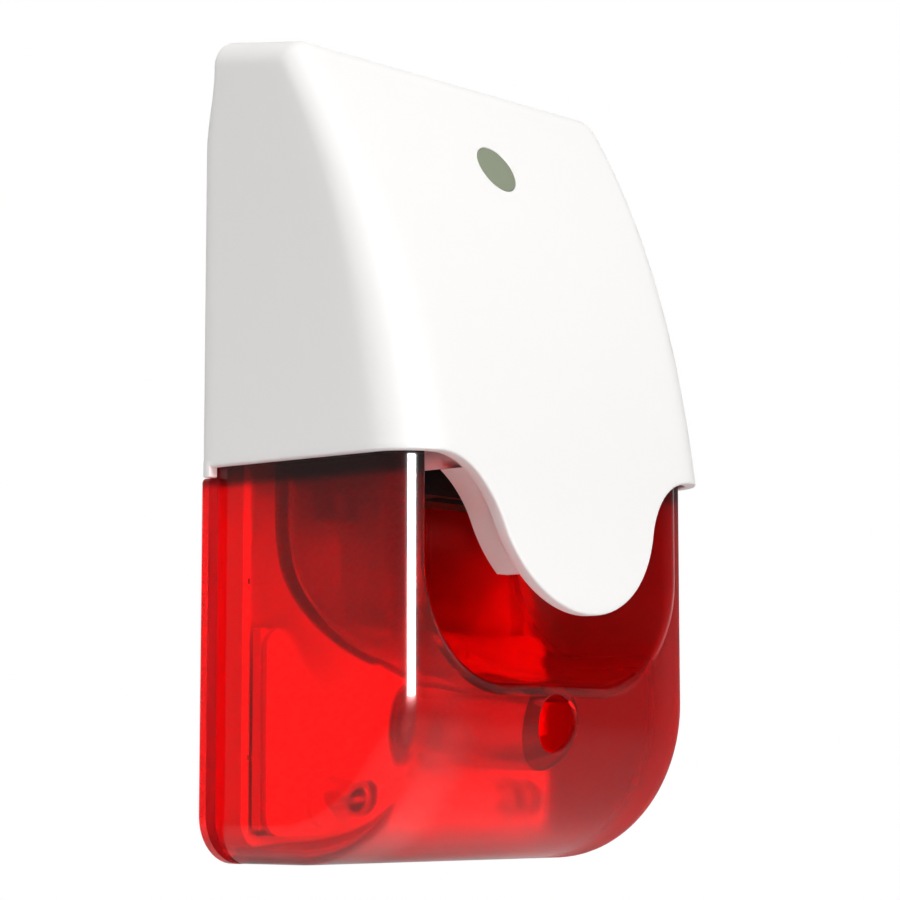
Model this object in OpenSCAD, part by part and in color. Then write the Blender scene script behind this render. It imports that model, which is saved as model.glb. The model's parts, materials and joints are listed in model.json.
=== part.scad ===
// Wall siren with a strobe: a moulded back plate, and a front housing that hangs on two
// hooks at the top and is held by one screw at the bottom. Millimetres, +Z up.
// The origin is the centre of the wall face. X runs right as seen from the front, and the
// front faces -Y, so a depth of d in front of the wall lies at y = -d.

/* [Overall] */
// Height of the whole siren
body_h = 122; // [100:1:150]
// Width across the cover
body_w = 73; // [66:1:90]
// Height of the cover's lower edge above the bottom of the siren
seam_h = 57.5; // [54:0.5:62]
// Thickness of the gap between the wall and the back edges of the housing
wall_gap = 0.4; // [0.2:0.1:0.8]

/* [Cover] */
// Depth of the cover's face at its lower edge
cover_d = 40.8; // [39:0.1:46]
// Depth of the line where the cover's front curve would meet its top
cover_top_d = 15.8; // [13:0.1:18]
// Lean of the face at the lower edge and on the tongue, in degrees
lean = 8; // [6:0.5:10]
// Slope of the top face down towards the front, in degrees
top_fall = 8; // [4:1:10]
// Rounding along the cover's edges
cover_edge_r = 6; // [5:0.5:9]
// Thickness of the cover's sides and top
cover_side_t = 1.7; // [1.4:0.1:1.9]
// Thickness of the cover's front and tongue
cover_front_t = 2.2; // [1.8:0.1:2.5]
// Distance that the back edge of the top stands off the wall, so the cover can tilt
top_relief = 1.8; // [1.7:0.1:2.4]

/* [Tongue] */
// Height of the tongue's tip above the bottom of the siren
tongue_h = 35.8; // [33:0.2:38]
// Radius of the tongue's round end
bell_r = 18.5; // [16:0.5:20]
// Radius of the flare where the tongue meets the cover's edge
flare_r = 13.5; // [11:0.5:15]

/* [Lens] */
// Depth of the lens's front face
lens_d = 37.7; // [36:0.1:37.9]
// Set-back of each lens side from the cover's side
lens_step = 1.9; // [1.8:0.1:2.6]
// Thickness of the lens
lens_t = 2; // [1.6:0.1:2.4]
// Radius where the lens's face turns into its bottom
lens_turn_r = 24; // [20:0.5:27]
// Rounding along the lens's side edges
lens_edge_r = 6; // [4:0.5:7]
// Distance that the lens's lip goes up inside the cover
lens_tuck = 4; // [3:0.5:4.5]
// Thickness of the flange round the lens's back edge
flange_t = 1.4; // [1:0.1:2]

/* [Sound recess] */
// Half width of the recess under the tongue
scoop_x = 28.2; // [26:0.2:29]
// Radius of the recess's lower corners
scoop_corner_r = 17; // [12:0.5:18]
// Radius of the recess's curved floor
scoop_r = 24; // [22:0.5:25]
// Depth in front of the wall of the recess's back
scoop_back_d = 10; // [9.6:0.1:11]
// Height of the recess's lowest point above the bottom of the siren
scoop_h = 26.2; // [25.8:0.2:28]

/* [Housing screw] */
// Height of the housing screw above the bottom of the siren
screw_h = 20.2; // [19:0.2:20.6]
// Radius of the access hole in the lens
screw_well_r = 4.2; // [3.8:0.1:4.4]
// Thickness of the wall round the access hole
screw_well_t = 2.2; // [1.6:0.1:2.4]
// Depth of the seat that the screw's head rests on
screw_seat_d = 8.6; // [8.2:0.1:9.4]
// Radius of the screw's shank at the root of its thread
screw_shank_r = 1.2; // [1:0.1:1.4]
// Radius of the screw's head
screw_head_r = 3.2; // [2.8:0.1:3.5]

/* [Back plate] */
// Thickness of the back plate's floor
floor_t = 2; // [1.8:0.1:2.2]
// Depth of the back plate's rim
rim_d = 5.3; // [4.6:0.1:5.6]
// Thickness of the rim
rim_t = 1.6; // [1.2:0.1:2]
// Gap between the rim and the housing
rim_gap = 0.4; // [0.3:0.1:0.6]
// Distance across between the wall screw holes
wall_hole_dx = 46; // [40:1:48]
// Distance up between the wall screw holes
wall_hole_dz = 84; // [74:1:86]
// Radius of the wall screw holes
wall_hole_r = 2.2; // [1.8:0.1:2.5]
// Radius of the hole through the cable grommet
cable_r = 3.2; // [2.4:0.1:3.6]

/* [Hooks] */
// Distance of each hook from the middle
hook_x = 18; // [15:0.5:20]
// Radius of the bars that the housing hangs on
hook_bar_r = 1; // [0.9:0.05:1.1]
// Running gap round the bars
hook_gap = 0.08; // [0.05:0.01:0.1]
// Width of each hook
hook_w = 7; // [5:0.5:8]
// Depth of the tilt axis
hook_d = 3.6; // [3.4:0.1:3.9]
// Distance of the tilt axis below the top of the siren
hook_drop = 4.1; // [4.1:0.1:4.4]

/* [Electronics] */
// Depth of the main board's back face
board_d = 11; // [10.8:0.1:11.4]
// Thickness of both boards
board_t = 1.6; // [1:0.2:1.6]
// Radius of the siren driver
driver_r = 18; // [16:0.5:18]
// Thickness of the siren driver
driver_t = 10; // [8:0.5:10.5]
// Radius of the power light's window
window_r = 4; // [3:0.5:4.5]
// Height of the power light above the bottom of the siren
window_h = 104.4; // [102:0.2:106]
// Radius of the flash tube
tube_r = 2; // [1.5:0.1:2.5]
// Length of the flash tube
tube_len = 38; // [30:1:42]
// Travel of the tamper plunger
tamper_travel = 1.5; // [1:0.1:1.8]

/* [Hidden] */
$fn = 64;

// Heights and half widths that the rest is placed from.
top_z = body_h / 2;
bottom_z = -body_h / 2;
seam_z = bottom_z + seam_h;
tongue_z = bottom_z + tongue_h;
cover_x = body_w / 2;
lens_x = cover_x - lens_step;
fit = 0.2;
far = 400;

// The cover's front curve, as a circle in the side view. It starts at the seam with the
// face's lean and runs up to the depth given for the top.
curve_rise = top_z - seam_z;
curve_run = cover_d - cover_top_d;
curve_turn = atan(curve_run / curve_rise) - lean;
cover_r = norm([curve_rise, curve_run]) / (2 * sin(curve_turn));
arc_d = cover_d - cover_r * cos(lean);
arc_z = seam_z - cover_r * sin(lean);
function face_d(z) = arc_d + sqrt(pow(cover_r, 2) - pow(z - arc_z, 2));
function face_angle(z) = asin((z - arc_z) / cover_r);

// How the solid housing forms are made before they are cut to shape: their depth, what they
// have to spare at an end, and the angle that the front curve is swept to.
solid_depth = 60;
solid_spare = 12;
curve_end = 48;

// Reach of the top's outline behind the wall, its length along the slope, and its height.
outline_back = 30;
outline_len = 130;
outline_drop = 220;

// Distance under the outer skin at which the cover's bosses and claws end.
skin_gap = 0.5;

// Extra radius of the top's roundings, so they cross the other faces and never just touch.
round_lap = 0.01;

// Height of the sloping top at a depth, taken in by a given thickness.
function top_line(d, inset = 0) = top_z - d * tan(top_fall) - inset / cos(top_fall);

// Tilt axis, and the widths of the parts of the hooks.
hook_z = top_z - hook_drop;
hook_claw_t = 1.3;
hook_ear_t = 1.5;
hook_ear_r = 1.5;
hook_side_gap = 0.7;
claw_mouth_half = 45;
claw_mouth_dir = 60;
claw_mouth_len = 8;
claw_arm_back = 1;
claw_arm_w = 4.5;

// Screw well and its seat.
screw_z = bottom_z + screw_h;
well_r = screw_well_r + screw_well_t;
well_floor_t = 1.6;
screw_tip_d = 2.6;
screw_head_t = 2.2;
boss_bore_r = screw_shank_r + 0.3;
base_boss_r = boss_bore_r + 1.7;
base_boss_gap = 0.4;
flange_gap = 1.6;
flange_top_z = seam_z - flange_gap;

// Recess under the tongue.
scoop_mid_d = scoop_back_d + scoop_r;
scoop_mid_z = bottom_z + scoop_h + scoop_r;
lens_top_z = seam_z + lens_tuck;

// Back plate outline.
base_lo_x = lens_x - lens_t - rim_gap;
base_hi_x = cover_x - cover_side_t - rim_gap;
base_bottom_z = bottom_z + lens_t + rim_gap;
base_top_z = hook_z - 0.3;
base_step_z = lens_top_z + 1;
base_corner_r = 4;
base_rib_x = 11;
base_rib_t = 1.2;
wall_hole_z = -3;
grommet_z = top_z - 33;
grommet_neck_r = cable_r + 2;
grommet_flange_r = cable_r + 4;
grommet_flange_t = 1.1;
grommet_seat_d = 3.2;

// Main board, with what stands on it.
board_front_d = board_d + board_t;
board_x = cover_x - cover_side_t - 3.8;
board_lo_z = seam_z + 5.4;
board_hi_z = top_z - 10;
board_screw_x = board_x - 4;
board_screw_lo_z = board_lo_z + 4;
board_screw_hi_z = board_hi_z - 4.5;
board_boss_r = 2.6;
board_pilot_r = 0.9;
board_pilot_len = 8;
board_hole_r = 1.3;
driver_d = board_front_d + 2.9;
driver_z = board_lo_z + 12.6;
driver_front_d = driver_d + driver_t;
driver_wall = 1.8;
lead_hole_r = 1.9;
disc_r = driver_r - driver_wall - 0.4;
horn_x = driver_r + 6;
horn_lo_z = seam_z - 4;
horn_hi_z = seam_z + 5;
horn_d = scoop_back_d + 2;
mouth_x = 11;
mouth_lo_d = driver_d + driver_wall + 1.9;
leg_x = horn_x - 3.2;
leg_r = 3.4;
leg_d = scoop_back_d + fit + leg_r;
leg_z = horn_lo_z - 3.5;
driver_pilot_len = 7;
driver_screw_x = horn_x - 4.5;
driver_screw_z = horn_hi_z - 3.5;
window_z = bottom_z + window_h;
window_tilt = face_angle(window_z);
window_len = 12;
window_fit = 0.05;
side_x = (board_x + driver_r) / 2 + 0.2;

// Sound lip behind the tongue, and the depth of the face that it stands on.
duct_inset = 0.8;
duct_t = 1.5;
duct_l = 4.6;
duct_lo_z = tongue_z + 5.7;
duct_hi_z = seam_z - 1.6;
function inner_face_d(z) = cover_d - cover_front_t / cos(lean) + (seam_z - z) * tan(lean);
bell_z = tongue_z + bell_r;
flare_z = seam_z - flare_r;
flare_x = sqrt(pow(bell_r + flare_r, 2) - pow(bell_z - flare_z, 2));

// Tamper switch, on the back of the main board.
tamper_x = -board_x + 9;
tamper_z = board_lo_z + 10;
tamper_body_d = 7.4;
tamper_stem_r = 1.5;
tamper_head_r = 2.6;
tamper_head_t = 1.2;
tamper_pad_d = floor_t + 0.8;
tamper_rest_gap = 0.3;
tamper_stem_in = 1.1;

// Strobe, in the lower half of the housing.
strobe_d = rim_d + 1;
strobe_x = base_lo_x - 1.2;
strobe_lo_z = bottom_z + 5;
strobe_hi_z = bottom_z + 34;
strobe_hole_gap = 0.3;
mirror_d = strobe_d + board_t + 0.4;
mirror_t = 0.9;
tube_d = mirror_d + 7;
tube_z = bottom_z + 9.4;
holder_t = 1.6;
flash_cap_r = 4.6;
flash_cap_len = 17;
lead_r = 0.5;
lead_pitch = 2;
lead_x = -9;
lead_d = 4.6;

// ---- placing helpers ----

// Puts a side-view shape, drawn as [depth, height], across the body, w wide at x.
module across(w, x = 0) {
    translate([x, 0, 0]) rotate([90, 0, -90]) linear_extrude(w, center = true) children();
}

// Puts a front-view shape, drawn as [x, z], between two depths.
module deep(d0, d1) {
    translate([0, -d0, 0]) rotate([90, 0, 0]) linear_extrude(d1 - d0) children();
}

// A rod along Y between two depths.
module rod(r, d0, d1, x = 0, z = 0) {
    translate([x, -d0, z]) rotate([90, 0, 0]) cylinder(r = r, h = d1 - d0);
}

// A box given by its limits: x, then depth, then z.
module block(x0, x1, d0, d1, z0, z1) {
    translate([x0, -d1, z0]) cube([x1 - x0, d1 - d0, z1 - z0]);
}

// Children at +x and -x.
module both_sides() {
    children();
    mirror([1, 0, 0]) children();
}

// Section of a housing wall: its outer face is the line x = 0, with both edges rounded.
module edge_section(half_w, r, depth) {
    translate([-depth, -half_w]) square([depth - r, 2 * half_w]);
    translate([-r - 1, -half_w + r]) square([r + 1, 2 * (half_w - r)]);
    translate([-r, half_w - r]) circle(r);
    translate([-r, -half_w + r]) circle(r);
}

// The section swept round an arc in the side view, from one angle above the front to another.
module sweep_arc(r, mid_d, mid_z, a0, a1, half_w, edge_r, depth) {
    translate([0, -mid_d, mid_z]) rotate([0, 0, -90]) rotate([90, 0, 0])
        rotate([0, 0, a0]) rotate_extrude(angle = a1 - a0, $fn = 180)
            translate([r, 0]) edge_section(half_w, edge_r, depth);
}

// The section swept straight, from a point of the face in a direction of the side view.
module sweep_line(d, z, angle, len, half_w, edge_r, depth) {
    translate([0, -d, z]) rotate([0, 0, -90]) rotate([90, 0, 0]) rotate([0, 0, angle])
        rotate([90, 0, 0]) linear_extrude(len) edge_section(half_w, edge_r, depth);
}

// ---- the two housing forms ----

// Solid form of the cover, taken in by the given amounts at the sides and at the front.
module cover_form(side_in = 0, front_in = 0) {
    half_w = cover_x - side_in;
    edge_r = cover_edge_r - max(side_in, front_in);
    curve_r = cover_r - front_in;
    intersection() {
        union() {
            sweep_arc(curve_r, arc_d, arc_z, lean, curve_end, half_w, edge_r, solid_depth);
            across(2 * (half_w - edge_r)) tongue_profile(curve_r);
        }
        across(far) cover_top_profile(side_in, front_in, edge_r);
        cover_top_outline(side_in, edge_r);
    }
}

// Side view of the tongue: its face goes straight on from the end of the front curve. Its
// back reaches up into the swept form, so the two overlap.
module tongue_profile(curve_r) {
    start = [arc_d + curve_r * cos(lean), arc_z + curve_r * sin(lean)];
    tip = start + [sin(lean), -cos(lean)] * (start[1] - tongue_z + solid_spare);
    polygon([start, tip, [-solid_spare, tip[1]], [-solid_spare, start[1] + solid_spare]]);
}

// Side view under the sloping top, with the top front edge rounded.
module cover_top_profile(side_in, front_in, edge_r) {
    reach = cover_r - front_in - edge_r;
    r = edge_r + round_lap;
    mid = corner_mid(r + side_in, reach);
    out = (mid - [arc_d, arc_z]) / reach;
    up = [sin(top_fall), cos(top_fall)];
    polygon([[-1, bottom_z], [far, bottom_z], mid + out * solid_depth, mid,
             mid + up * r, [-1, top_line(-1, side_in)]]);
    translate(mid) circle(r, $fn = 96);
}

// Centre of the rounding at the top front edge: on the circle of radius reach round the
// centre of the front curve, and at a given distance below the top face.
function corner_mid(below, reach) =
    let (k = tan(top_fall), z0 = top_line(0, below), a = 1 + k * k,
         b = -2 * (arc_d + k * (z0 - arc_z)),
         c = arc_d * arc_d + pow(z0 - arc_z, 2) - reach * reach,
         d = (-b + sqrt(b * b - 4 * a * c)) / (2 * a))
    [d, z0 - k * d];

// Front view with rounded top corners, swept along the slope of the top.
module cover_top_outline(side_in, edge_r) {
    half_w = cover_x - side_in + round_lap;
    r = edge_r + round_lap;
    z = round_lap - side_in;
    translate([0, 0, top_z]) rotate([top_fall, 0, 0]) translate([0, outline_back, 0])
        rotate([90, 0, 0]) linear_extrude(outline_len) {
            translate([-half_w, z - outline_drop]) square([2 * half_w, outline_drop - r]);
            translate([-half_w + r, z - r - 1]) square([2 * (half_w - r), r + 1]);
            translate([-half_w + r, z - r]) circle(r);
            translate([half_w - r, z - r]) circle(r);
        }
}

// Solid form of the lens, taken in by a given amount all round.
module lens_form(inset = 0) {
    half_w = lens_x - inset;
    edge_r = lens_edge_r - inset;
    turn_r = lens_turn_r - inset;
    mid_d = lens_d - lens_turn_r;
    mid_z = bottom_z + lens_turn_r;
    sweep_line(lens_d - inset, lens_top_z + 1, 0, lens_top_z + 1 - mid_z, half_w, edge_r,
               lens_d - inset);
    sweep_arc(turn_r, mid_d, mid_z, -90, 0, half_w, edge_r, edge_r + 2);
    across(2 * half_w) translate([mid_d, mid_z]) circle(turn_r - edge_r);
    sweep_line(mid_d, mid_z - turn_r, -90, mid_d + 2, half_w, edge_r, turn_r);
}

// Front view of the cover: everything above the seam, and the tongue.
module cover_outline() {
    translate([-far / 2, seam_z]) square([far, far]);
    tongue_outline();
}

// Front view of the tongue, taken in by a given amount all round.
module tongue_outline(inset = 0) {
    join_z = bell_z - (bell_z - flare_z) * (bell_r - inset) / (bell_r + flare_r);
    translate([0, bell_z]) circle(bell_r - inset, $fn = 128);
    difference() {
        translate([-flare_x, join_z]) square([2 * flare_x, seam_z - join_z + 1]);
        translate([flare_x, flare_z]) circle(flare_r + inset, $fn = 128);
        translate([-flare_x, flare_z]) circle(flare_r + inset, $fn = 128);
    }
}

// ---- back plate body ----

module base_outline(inset = 0) {
    rounded_rect(base_lo_x - inset, base_bottom_z + inset, base_step_z + 10, base_corner_r - inset);
    rounded_rect(base_hi_x - inset, base_step_z + inset, base_top_z - inset,
                 base_corner_r - inset);
}

module rounded_rect(half_w, z0, z1, r) {
    translate([-half_w + r, z0]) square([2 * (half_w - r), z1 - z0]);
    translate([-half_w, z0 + r]) square([2 * half_w, z1 - z0 - 2 * r]);
    for (x = [-half_w + r, half_w - r], z = [z0 + r, z1 - r]) translate([x, z]) circle(r);
}

module base_plate() color("gainsboro") {
    difference() {
        union() {
            deep(0, floor_t) base_outline();
            deep(0, rim_d) difference() {
                base_outline();
                base_outline(rim_t);
            }
            rod(grommet_flange_r + 1.4, floor_t - 0.5, grommet_seat_d, 0, grommet_z);
            rod(base_boss_r, 1, screw_seat_d - well_floor_t - base_boss_gap, 0, screw_z);
            for (x = [-1, 1], z = [-1, 1])
                rod(wall_hole_r + 1.8, 1, floor_t + 1, x * wall_hole_dx / 2,
                    wall_hole_z + z * wall_hole_dz / 2);
            for (x = [-1, 1]) block(x * base_rib_x - base_rib_t / 2, x * base_rib_x + base_rib_t / 2,
                                    1, floor_t + 0.7, screw_z + 8, grommet_z - 12);
            block(tamper_x - 4, tamper_x + 4, 1, tamper_pad_d, tamper_z - 4, tamper_z + 4);
        }
        rod(grommet_neck_r, -1, 5, 0, grommet_z);
        rod(grommet_flange_r + 0.1, -1, grommet_flange_t + 0.1, 0, grommet_z);
        rod(boss_bore_r, 0.9, 10, 0, screw_z);
        for (x = [-1, 1], z = [-1, 1])
            rod(wall_hole_r, -1, 5, x * wall_hole_dx / 2, wall_hole_z + z * wall_hole_dz / 2);
        both_sides() block(hook_x - hook_window / 2, hook_x + hook_window / 2, -1, rim_d + 1,
                           hook_z - hook_reach - rim_gap, top_z);
    }
    both_sides() hook_bar();
}

// Radius of the claws, and width of the rim's windows for them.
hook_reach = hook_bar_r + hook_gap + hook_claw_t;
hook_window = hook_w + 2 * hook_side_gap;

// Bar across the rim's window, with an ear at each end.
module hook_bar() {
    half = hook_window / 2;
    ear_out = half + hook_ear_t;
    across(2 * ear_out, hook_x) translate([hook_d, hook_z]) circle(hook_bar_r);
    for (x = [-1, 1]) across(hook_ear_t, hook_x + x * (half + hook_ear_t / 2)) {
        translate([hook_d, hook_z]) circle(hook_ear_r);
        translate([hook_d - hook_ear_r, hook_z - hook_drop]) square([2 * hook_ear_r, hook_drop]);
    }
}

// Rubber grommet that the supply cable goes through.
module cable_grommet() color("dimgray") difference() {
    union() {
        rod(grommet_flange_r, 0, grommet_flange_t, 0, grommet_z);
        rod(grommet_neck_r, 0.5, grommet_seat_d + 0.6, 0, grommet_z);
        rod(grommet_flange_r, grommet_seat_d, grommet_seat_d + grommet_flange_t, 0, grommet_z);
    }
    rod(cable_r, -1, 6, 0, grommet_z);
}

// ---- front housing ----

module cover() color("white") {
    difference() {
        union() {
            intersection() {
                difference() {
                    cover_form();
                    cover_form(cover_side_t, cover_front_t);
                }
                deep(wall_gap, solid_depth) cover_outline();
            }
            intersection() {
                cover_form(skin_gap, skin_gap);
                cover_bosses();
            }
            both_sides() {
                hook_claw();
                block(cover_x - cover_side_t, cover_x, wall_gap, wall_gap + flange_t,
                      flange_top_z + fit / 2, seam_z + 1);
            }
        }
        translate([0, -face_d(window_z), window_z]) rotate([90 - window_tilt, 0, 0])
            cylinder(r = window_r + window_fit, h = window_len, center = true);
        block(-far, far, -1, top_relief, top_z - 6, top_z + 1);
        for (x = [-1, 1], z = [board_screw_lo_z, board_screw_hi_z])
            rod(board_pilot_r, 0, board_front_d + board_pilot_len, x * board_screw_x, z);
        both_sides() rod(board_pilot_r, 0, driver_front_d + driver_pilot_len, driver_screw_x, driver_screw_z);
        both_sides() block(lens_x - 0.1, lens_x + snap_depth + fit, snap_d - fit,
                           snap_d + snap_len + fit, snap_z - fit, snap_z + snap_bead_t + fit);
    }
}

// Snap tabs of the lens: where they stand and how far their beads reach.
snap_d = 12;
snap_len = 8;
snap_z = lens_top_z + 3.6;
snap_depth = 0.5;
snap_tab_t = 1.1;
snap_bead_t = 1.2;

// Bosses for the main board's screws and for the driver's screws.
module cover_bosses() {
    for (x = [-1, 1], z = [board_screw_lo_z, board_screw_hi_z])
        rod(board_boss_r, board_front_d, cover_d, x * board_screw_x, z);
    both_sides() rod(board_boss_r, driver_front_d, solid_depth, driver_screw_x, driver_screw_z);
}

// Claw that turns on the hook bar. Its mouth faces back and down.
module hook_claw() {
    intersection() {
        across(hook_w, hook_x) difference() {
            union() {
                translate([hook_d, hook_z]) circle(hook_reach);
                translate([hook_d - claw_arm_back, hook_z]) square([claw_arm_w, hook_drop]);
            }
            translate([hook_d, hook_z]) circle(hook_bar_r + hook_gap);
            translate([hook_d, hook_z]) rotate(180 + claw_mouth_dir)
                polygon([[0, 0], [claw_mouth_len, -claw_mouth_len * tan(claw_mouth_half)],
                         [claw_mouth_len, claw_mouth_len * tan(claw_mouth_half)]]);
        }
        cover_form(skin_gap, skin_gap);
    }
}

// Clear window of the power light.
module power_window() color([0.65, 0.67, 0.57])
    intersection() {
        translate([0, -face_d(window_z), window_z]) rotate([90 - window_tilt, 0, 0])
            translate([0, 0, -cover_front_t - 1]) cylinder(r = window_r, h = window_len);
        cover_form();
    }

// Red lens with the recess under the tongue and the screw well.
module lens() color([0.8, 0.05, 0.06, 0.6]) {
    difference() {
        union() {
            difference() {
                intersection() {
                    union() {
                        lens_outer();
                        lens_flange();
                    }
                    deep(wall_gap, solid_depth) lens_front_outline();
                }
                lens_form(lens_t);
            }
            intersection() {
                lens_outer();
                union() {
                    scoop_form(lens_t);
                    rod(well_r, screw_seat_d - well_floor_t, lens_d, 0, screw_z);
                    both_sides() side_ribs();
                }
            }
            both_sides() snap_tab();
        }
        scoop_form(0);
        rod(screw_well_r, screw_seat_d, solid_depth, 0, screw_z);
        rod(screw_shank_r + 0.5, 0, solid_depth, 0, screw_z);
    }
}

// Outer form of the lens; above the seam it is taken in to fit inside the cover.
module lens_outer() intersection() {
    lens_form();
    union() {
        deep(0, solid_depth) translate([-far / 2, bottom_z - 1]) square([far, seam_h + 1 - fit]);
        cover_form(cover_side_t + 2 * fit, cover_front_t + fit);
    }
}

module lens_front_outline()
    translate([-far / 2, bottom_z - 1]) square([far, body_h / 2 + seam_z + lens_tuck + 1]);

// Flange along the back edge of the lens, flush with the cover's sides.
module lens_flange() deep(0, wall_gap + flange_t) {
    r = lens_edge_r + 1;
    translate([-cover_x + r, bottom_z]) square([2 * (cover_x - r), r + 1]);
    translate([-cover_x, bottom_z + r]) square([2 * cover_x, flange_top_z - bottom_z - r]);
    both_sides() translate([cover_x - r, bottom_z + r]) circle(r);
}

// Volume of the sound recess, grown by a wall thickness.
module scoop_form(grow) {
    r = scoop_corner_r + grow;
    half_w = scoop_x + grow;
    low_z = bottom_z + scoop_h - grow;
    intersection() {
        deep(0, solid_depth) {
            translate([-half_w, low_z + r]) square([2 * half_w, far / 2]);
            translate([-half_w + r, low_z]) square([2 * (half_w - r), r + 1]);
            for (x = [-half_w + r, half_w - r]) translate([x, low_z + r]) circle(r, $fn = 96);
        }
        across(far) {
            translate([scoop_mid_d, scoop_mid_z]) circle(scoop_r + grow, $fn = 128);
            translate([scoop_mid_d, low_z]) square([solid_depth, far / 2]);
            translate([scoop_back_d - grow, scoop_mid_z]) square([solid_depth + scoop_r, far / 2]);
        }
    }
}

// Thin ribs on the inside of the lens's sides: their heights, how far they stand out, their
// thickness, and the depth that they end at.
side_rib_h = [40.7, 15.3];
side_rib_w = 0.7;
side_rib_t = 0.8;
side_rib_end_d = 30;
module side_ribs() {
    inner = lens_x - lens_t;
    for (h = side_rib_h)
        block(inner - side_rib_w, inner + 0.5, rim_d + 1.3, side_rib_end_d,
              bottom_z + h - side_rib_t / 2, bottom_z + h + side_rib_t / 2);
}

module snap_tab() {
    out = lens_x - fit;
    block(out - snap_tab_t, out, snap_d, snap_d + snap_len, lens_top_z - 2, snap_z + 2);
    block(out - 0.5, lens_x + snap_depth, snap_d, snap_d + snap_len, snap_z, snap_z + snap_bead_t);
}

// Lip behind the tongue that leads the sound down into the recess. It follows the tongue's
// outline, with a flat cut below and a bar across its top.
module sound_duct() color("white") intersection() {
    deep(0, solid_depth) difference() {
        tongue_outline(duct_inset);
        difference() {
            tongue_outline(duct_inset + duct_t);
            translate([-far / 2, duct_hi_z - duct_t]) square([far, far]);
        }
    }
    across(far) polygon([
        [inner_face_d(duct_hi_z), duct_hi_z], [inner_face_d(duct_lo_z), duct_lo_z],
        [inner_face_d(duct_lo_z) - duct_l, duct_lo_z], [inner_face_d(duct_hi_z) - duct_l, duct_hi_z],
    ]);
}

// Black body of the siren driver: a round chamber and the horn block under it.
module siren_driver() color([0.06, 0.07, 0.07]) {
    difference() {
        union() {
            rod(driver_r, driver_d, driver_front_d, 0, driver_z);
            block(-horn_x, horn_x, horn_d, driver_front_d, horn_lo_z, horn_hi_z);
            both_sides() translate([leg_x, -leg_d, leg_z]) cylinder(r = leg_r, h = 5);
        }
        rod(driver_r - driver_wall, 0, driver_d + driver_wall, 0, driver_z);
        rod(disc_r - 1.2, driver_d, driver_front_d - driver_wall, 0, driver_z);
        block(-mouth_x, mouth_x, mouth_lo_d, driver_front_d - driver_wall, horn_lo_z - 1,
              driver_z - driver_r + 6);
        both_sides() rod(board_hole_r, 0, solid_depth, driver_screw_x, driver_screw_z);
    }
}

module driver_cap() color([0.1, 0.1, 0.1]) difference() {
    rod(driver_r - driver_wall - 0.1, driver_d, driver_d + 1, 0, driver_z);
    rod(lead_hole_r, 0, solid_depth, 0, driver_z);
}

module driver_gasket() color("dimgray") difference() {
    rod(driver_r - driver_wall - 0.15, driver_d + 1, driver_d + 1.4, 0, driver_z);
    rod(disc_r - 2, 0, solid_depth, 0, driver_z);
}

module piezo_disc() color("goldenrod") {
    rod(disc_r, driver_d + 1.4, driver_d + 1.65, 0, driver_z);
    rod(disc_r - 4, driver_d + 1.2, driver_d + 1.4, 0, driver_z);
}

// Pan head screw that points to the front: its head's back is at depth d.
module small_screw(x, z, d, len) {
    rod(2.1, d - 1.5, d, x, z);
    rod(board_pilot_r - 0.05, d - 0.1, d + len, x, z);
}

module driver_screws() color("silver") both_sides() difference() {
    small_screw(driver_screw_x, driver_screw_z, horn_d, driver_front_d - horn_d + 5);
    cross_slot(driver_screw_x, driver_screw_z, horn_d - 1.5);
}

// Cross recess in a head whose back is at depth d.
module cross_slot(x, z, d) {
    block(x - 1.2, x + 1.2, d - 0.1, d + 0.7, z - 0.3, z + 0.3);
    block(x - 0.3, x + 0.3, d - 0.1, d + 0.7, z - 1.2, z + 1.2);
}

// Two short leads from the driver to the main board.
module driver_leads() color("red")
    for (x = [-1.2, 1.2])
        rod(lead_r, board_front_d, driver_d + 1.2, x, driver_z);

// ---- main board ----

module main_board() color("darkgreen") difference() {
    block(-board_x, board_x, board_d, board_front_d, board_lo_z, board_hi_z);
    for (x = [-1, 1], z = [board_screw_lo_z, board_screw_hi_z])
        rod(board_hole_r, 0, solid_depth, x * board_screw_x, z);
}

module board_screws() color("silver")
    for (x = [-1, 1], z = [board_screw_lo_z, board_screw_hi_z]) difference() {
        small_screw(x * board_screw_x, z, board_d, board_t + 6);
        cross_slot(x * board_screw_x, z, board_d - 1.5);
    }

// Four-way terminal block on the back of the board: the pitch of its ways, its place, the
// depth of its face and its height.
term_pitch = 5;
term_x = 4;
term_z = board_lo_z + 10;
term_d = floor_t + 1;
term_h = 9;
module terminal_block() color("seagreen") difference() {
    block(term_x, term_x + 4 * term_pitch, term_d, board_d, term_z - term_h / 2, term_z + term_h / 2);
    for (i = [0:3]) {
        x = term_x + (i + 0.5) * term_pitch;
        rod(1.9, 0, term_d + 2.4, x, term_z + 1);
        block(x - 1.5, x + 1.5, term_d + 3.2, term_d + 6.4, term_z - 6, term_z);
    }
}

module terminal_screws() color("silver")
    for (i = [0:3]) {
        x = term_x + (i + 0.5) * term_pitch;
        difference() {
            rod(1.7, term_d + 0.8, term_d + 2.4, x, term_z + 1);
            block(x - 1.8, x + 1.8, 0, term_d + 1.4, term_z + 0.75, term_z + 1.25);
        }
    }

// Radius of the power light's lamp.
led_r = 2.5;
module power_led() color([0.9, 0.9, 0.8])
    translate([0, -board_front_d, window_z]) rotate([90, 0, 0]) rotate_extrude() {
        square([led_r + 0.4, 1]);
        square([led_r, 5.5]);
        intersection() {
            translate([0, 5.5]) circle(led_r);
            translate([0, 5]) square(led_r + 1);
        }
    }

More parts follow.
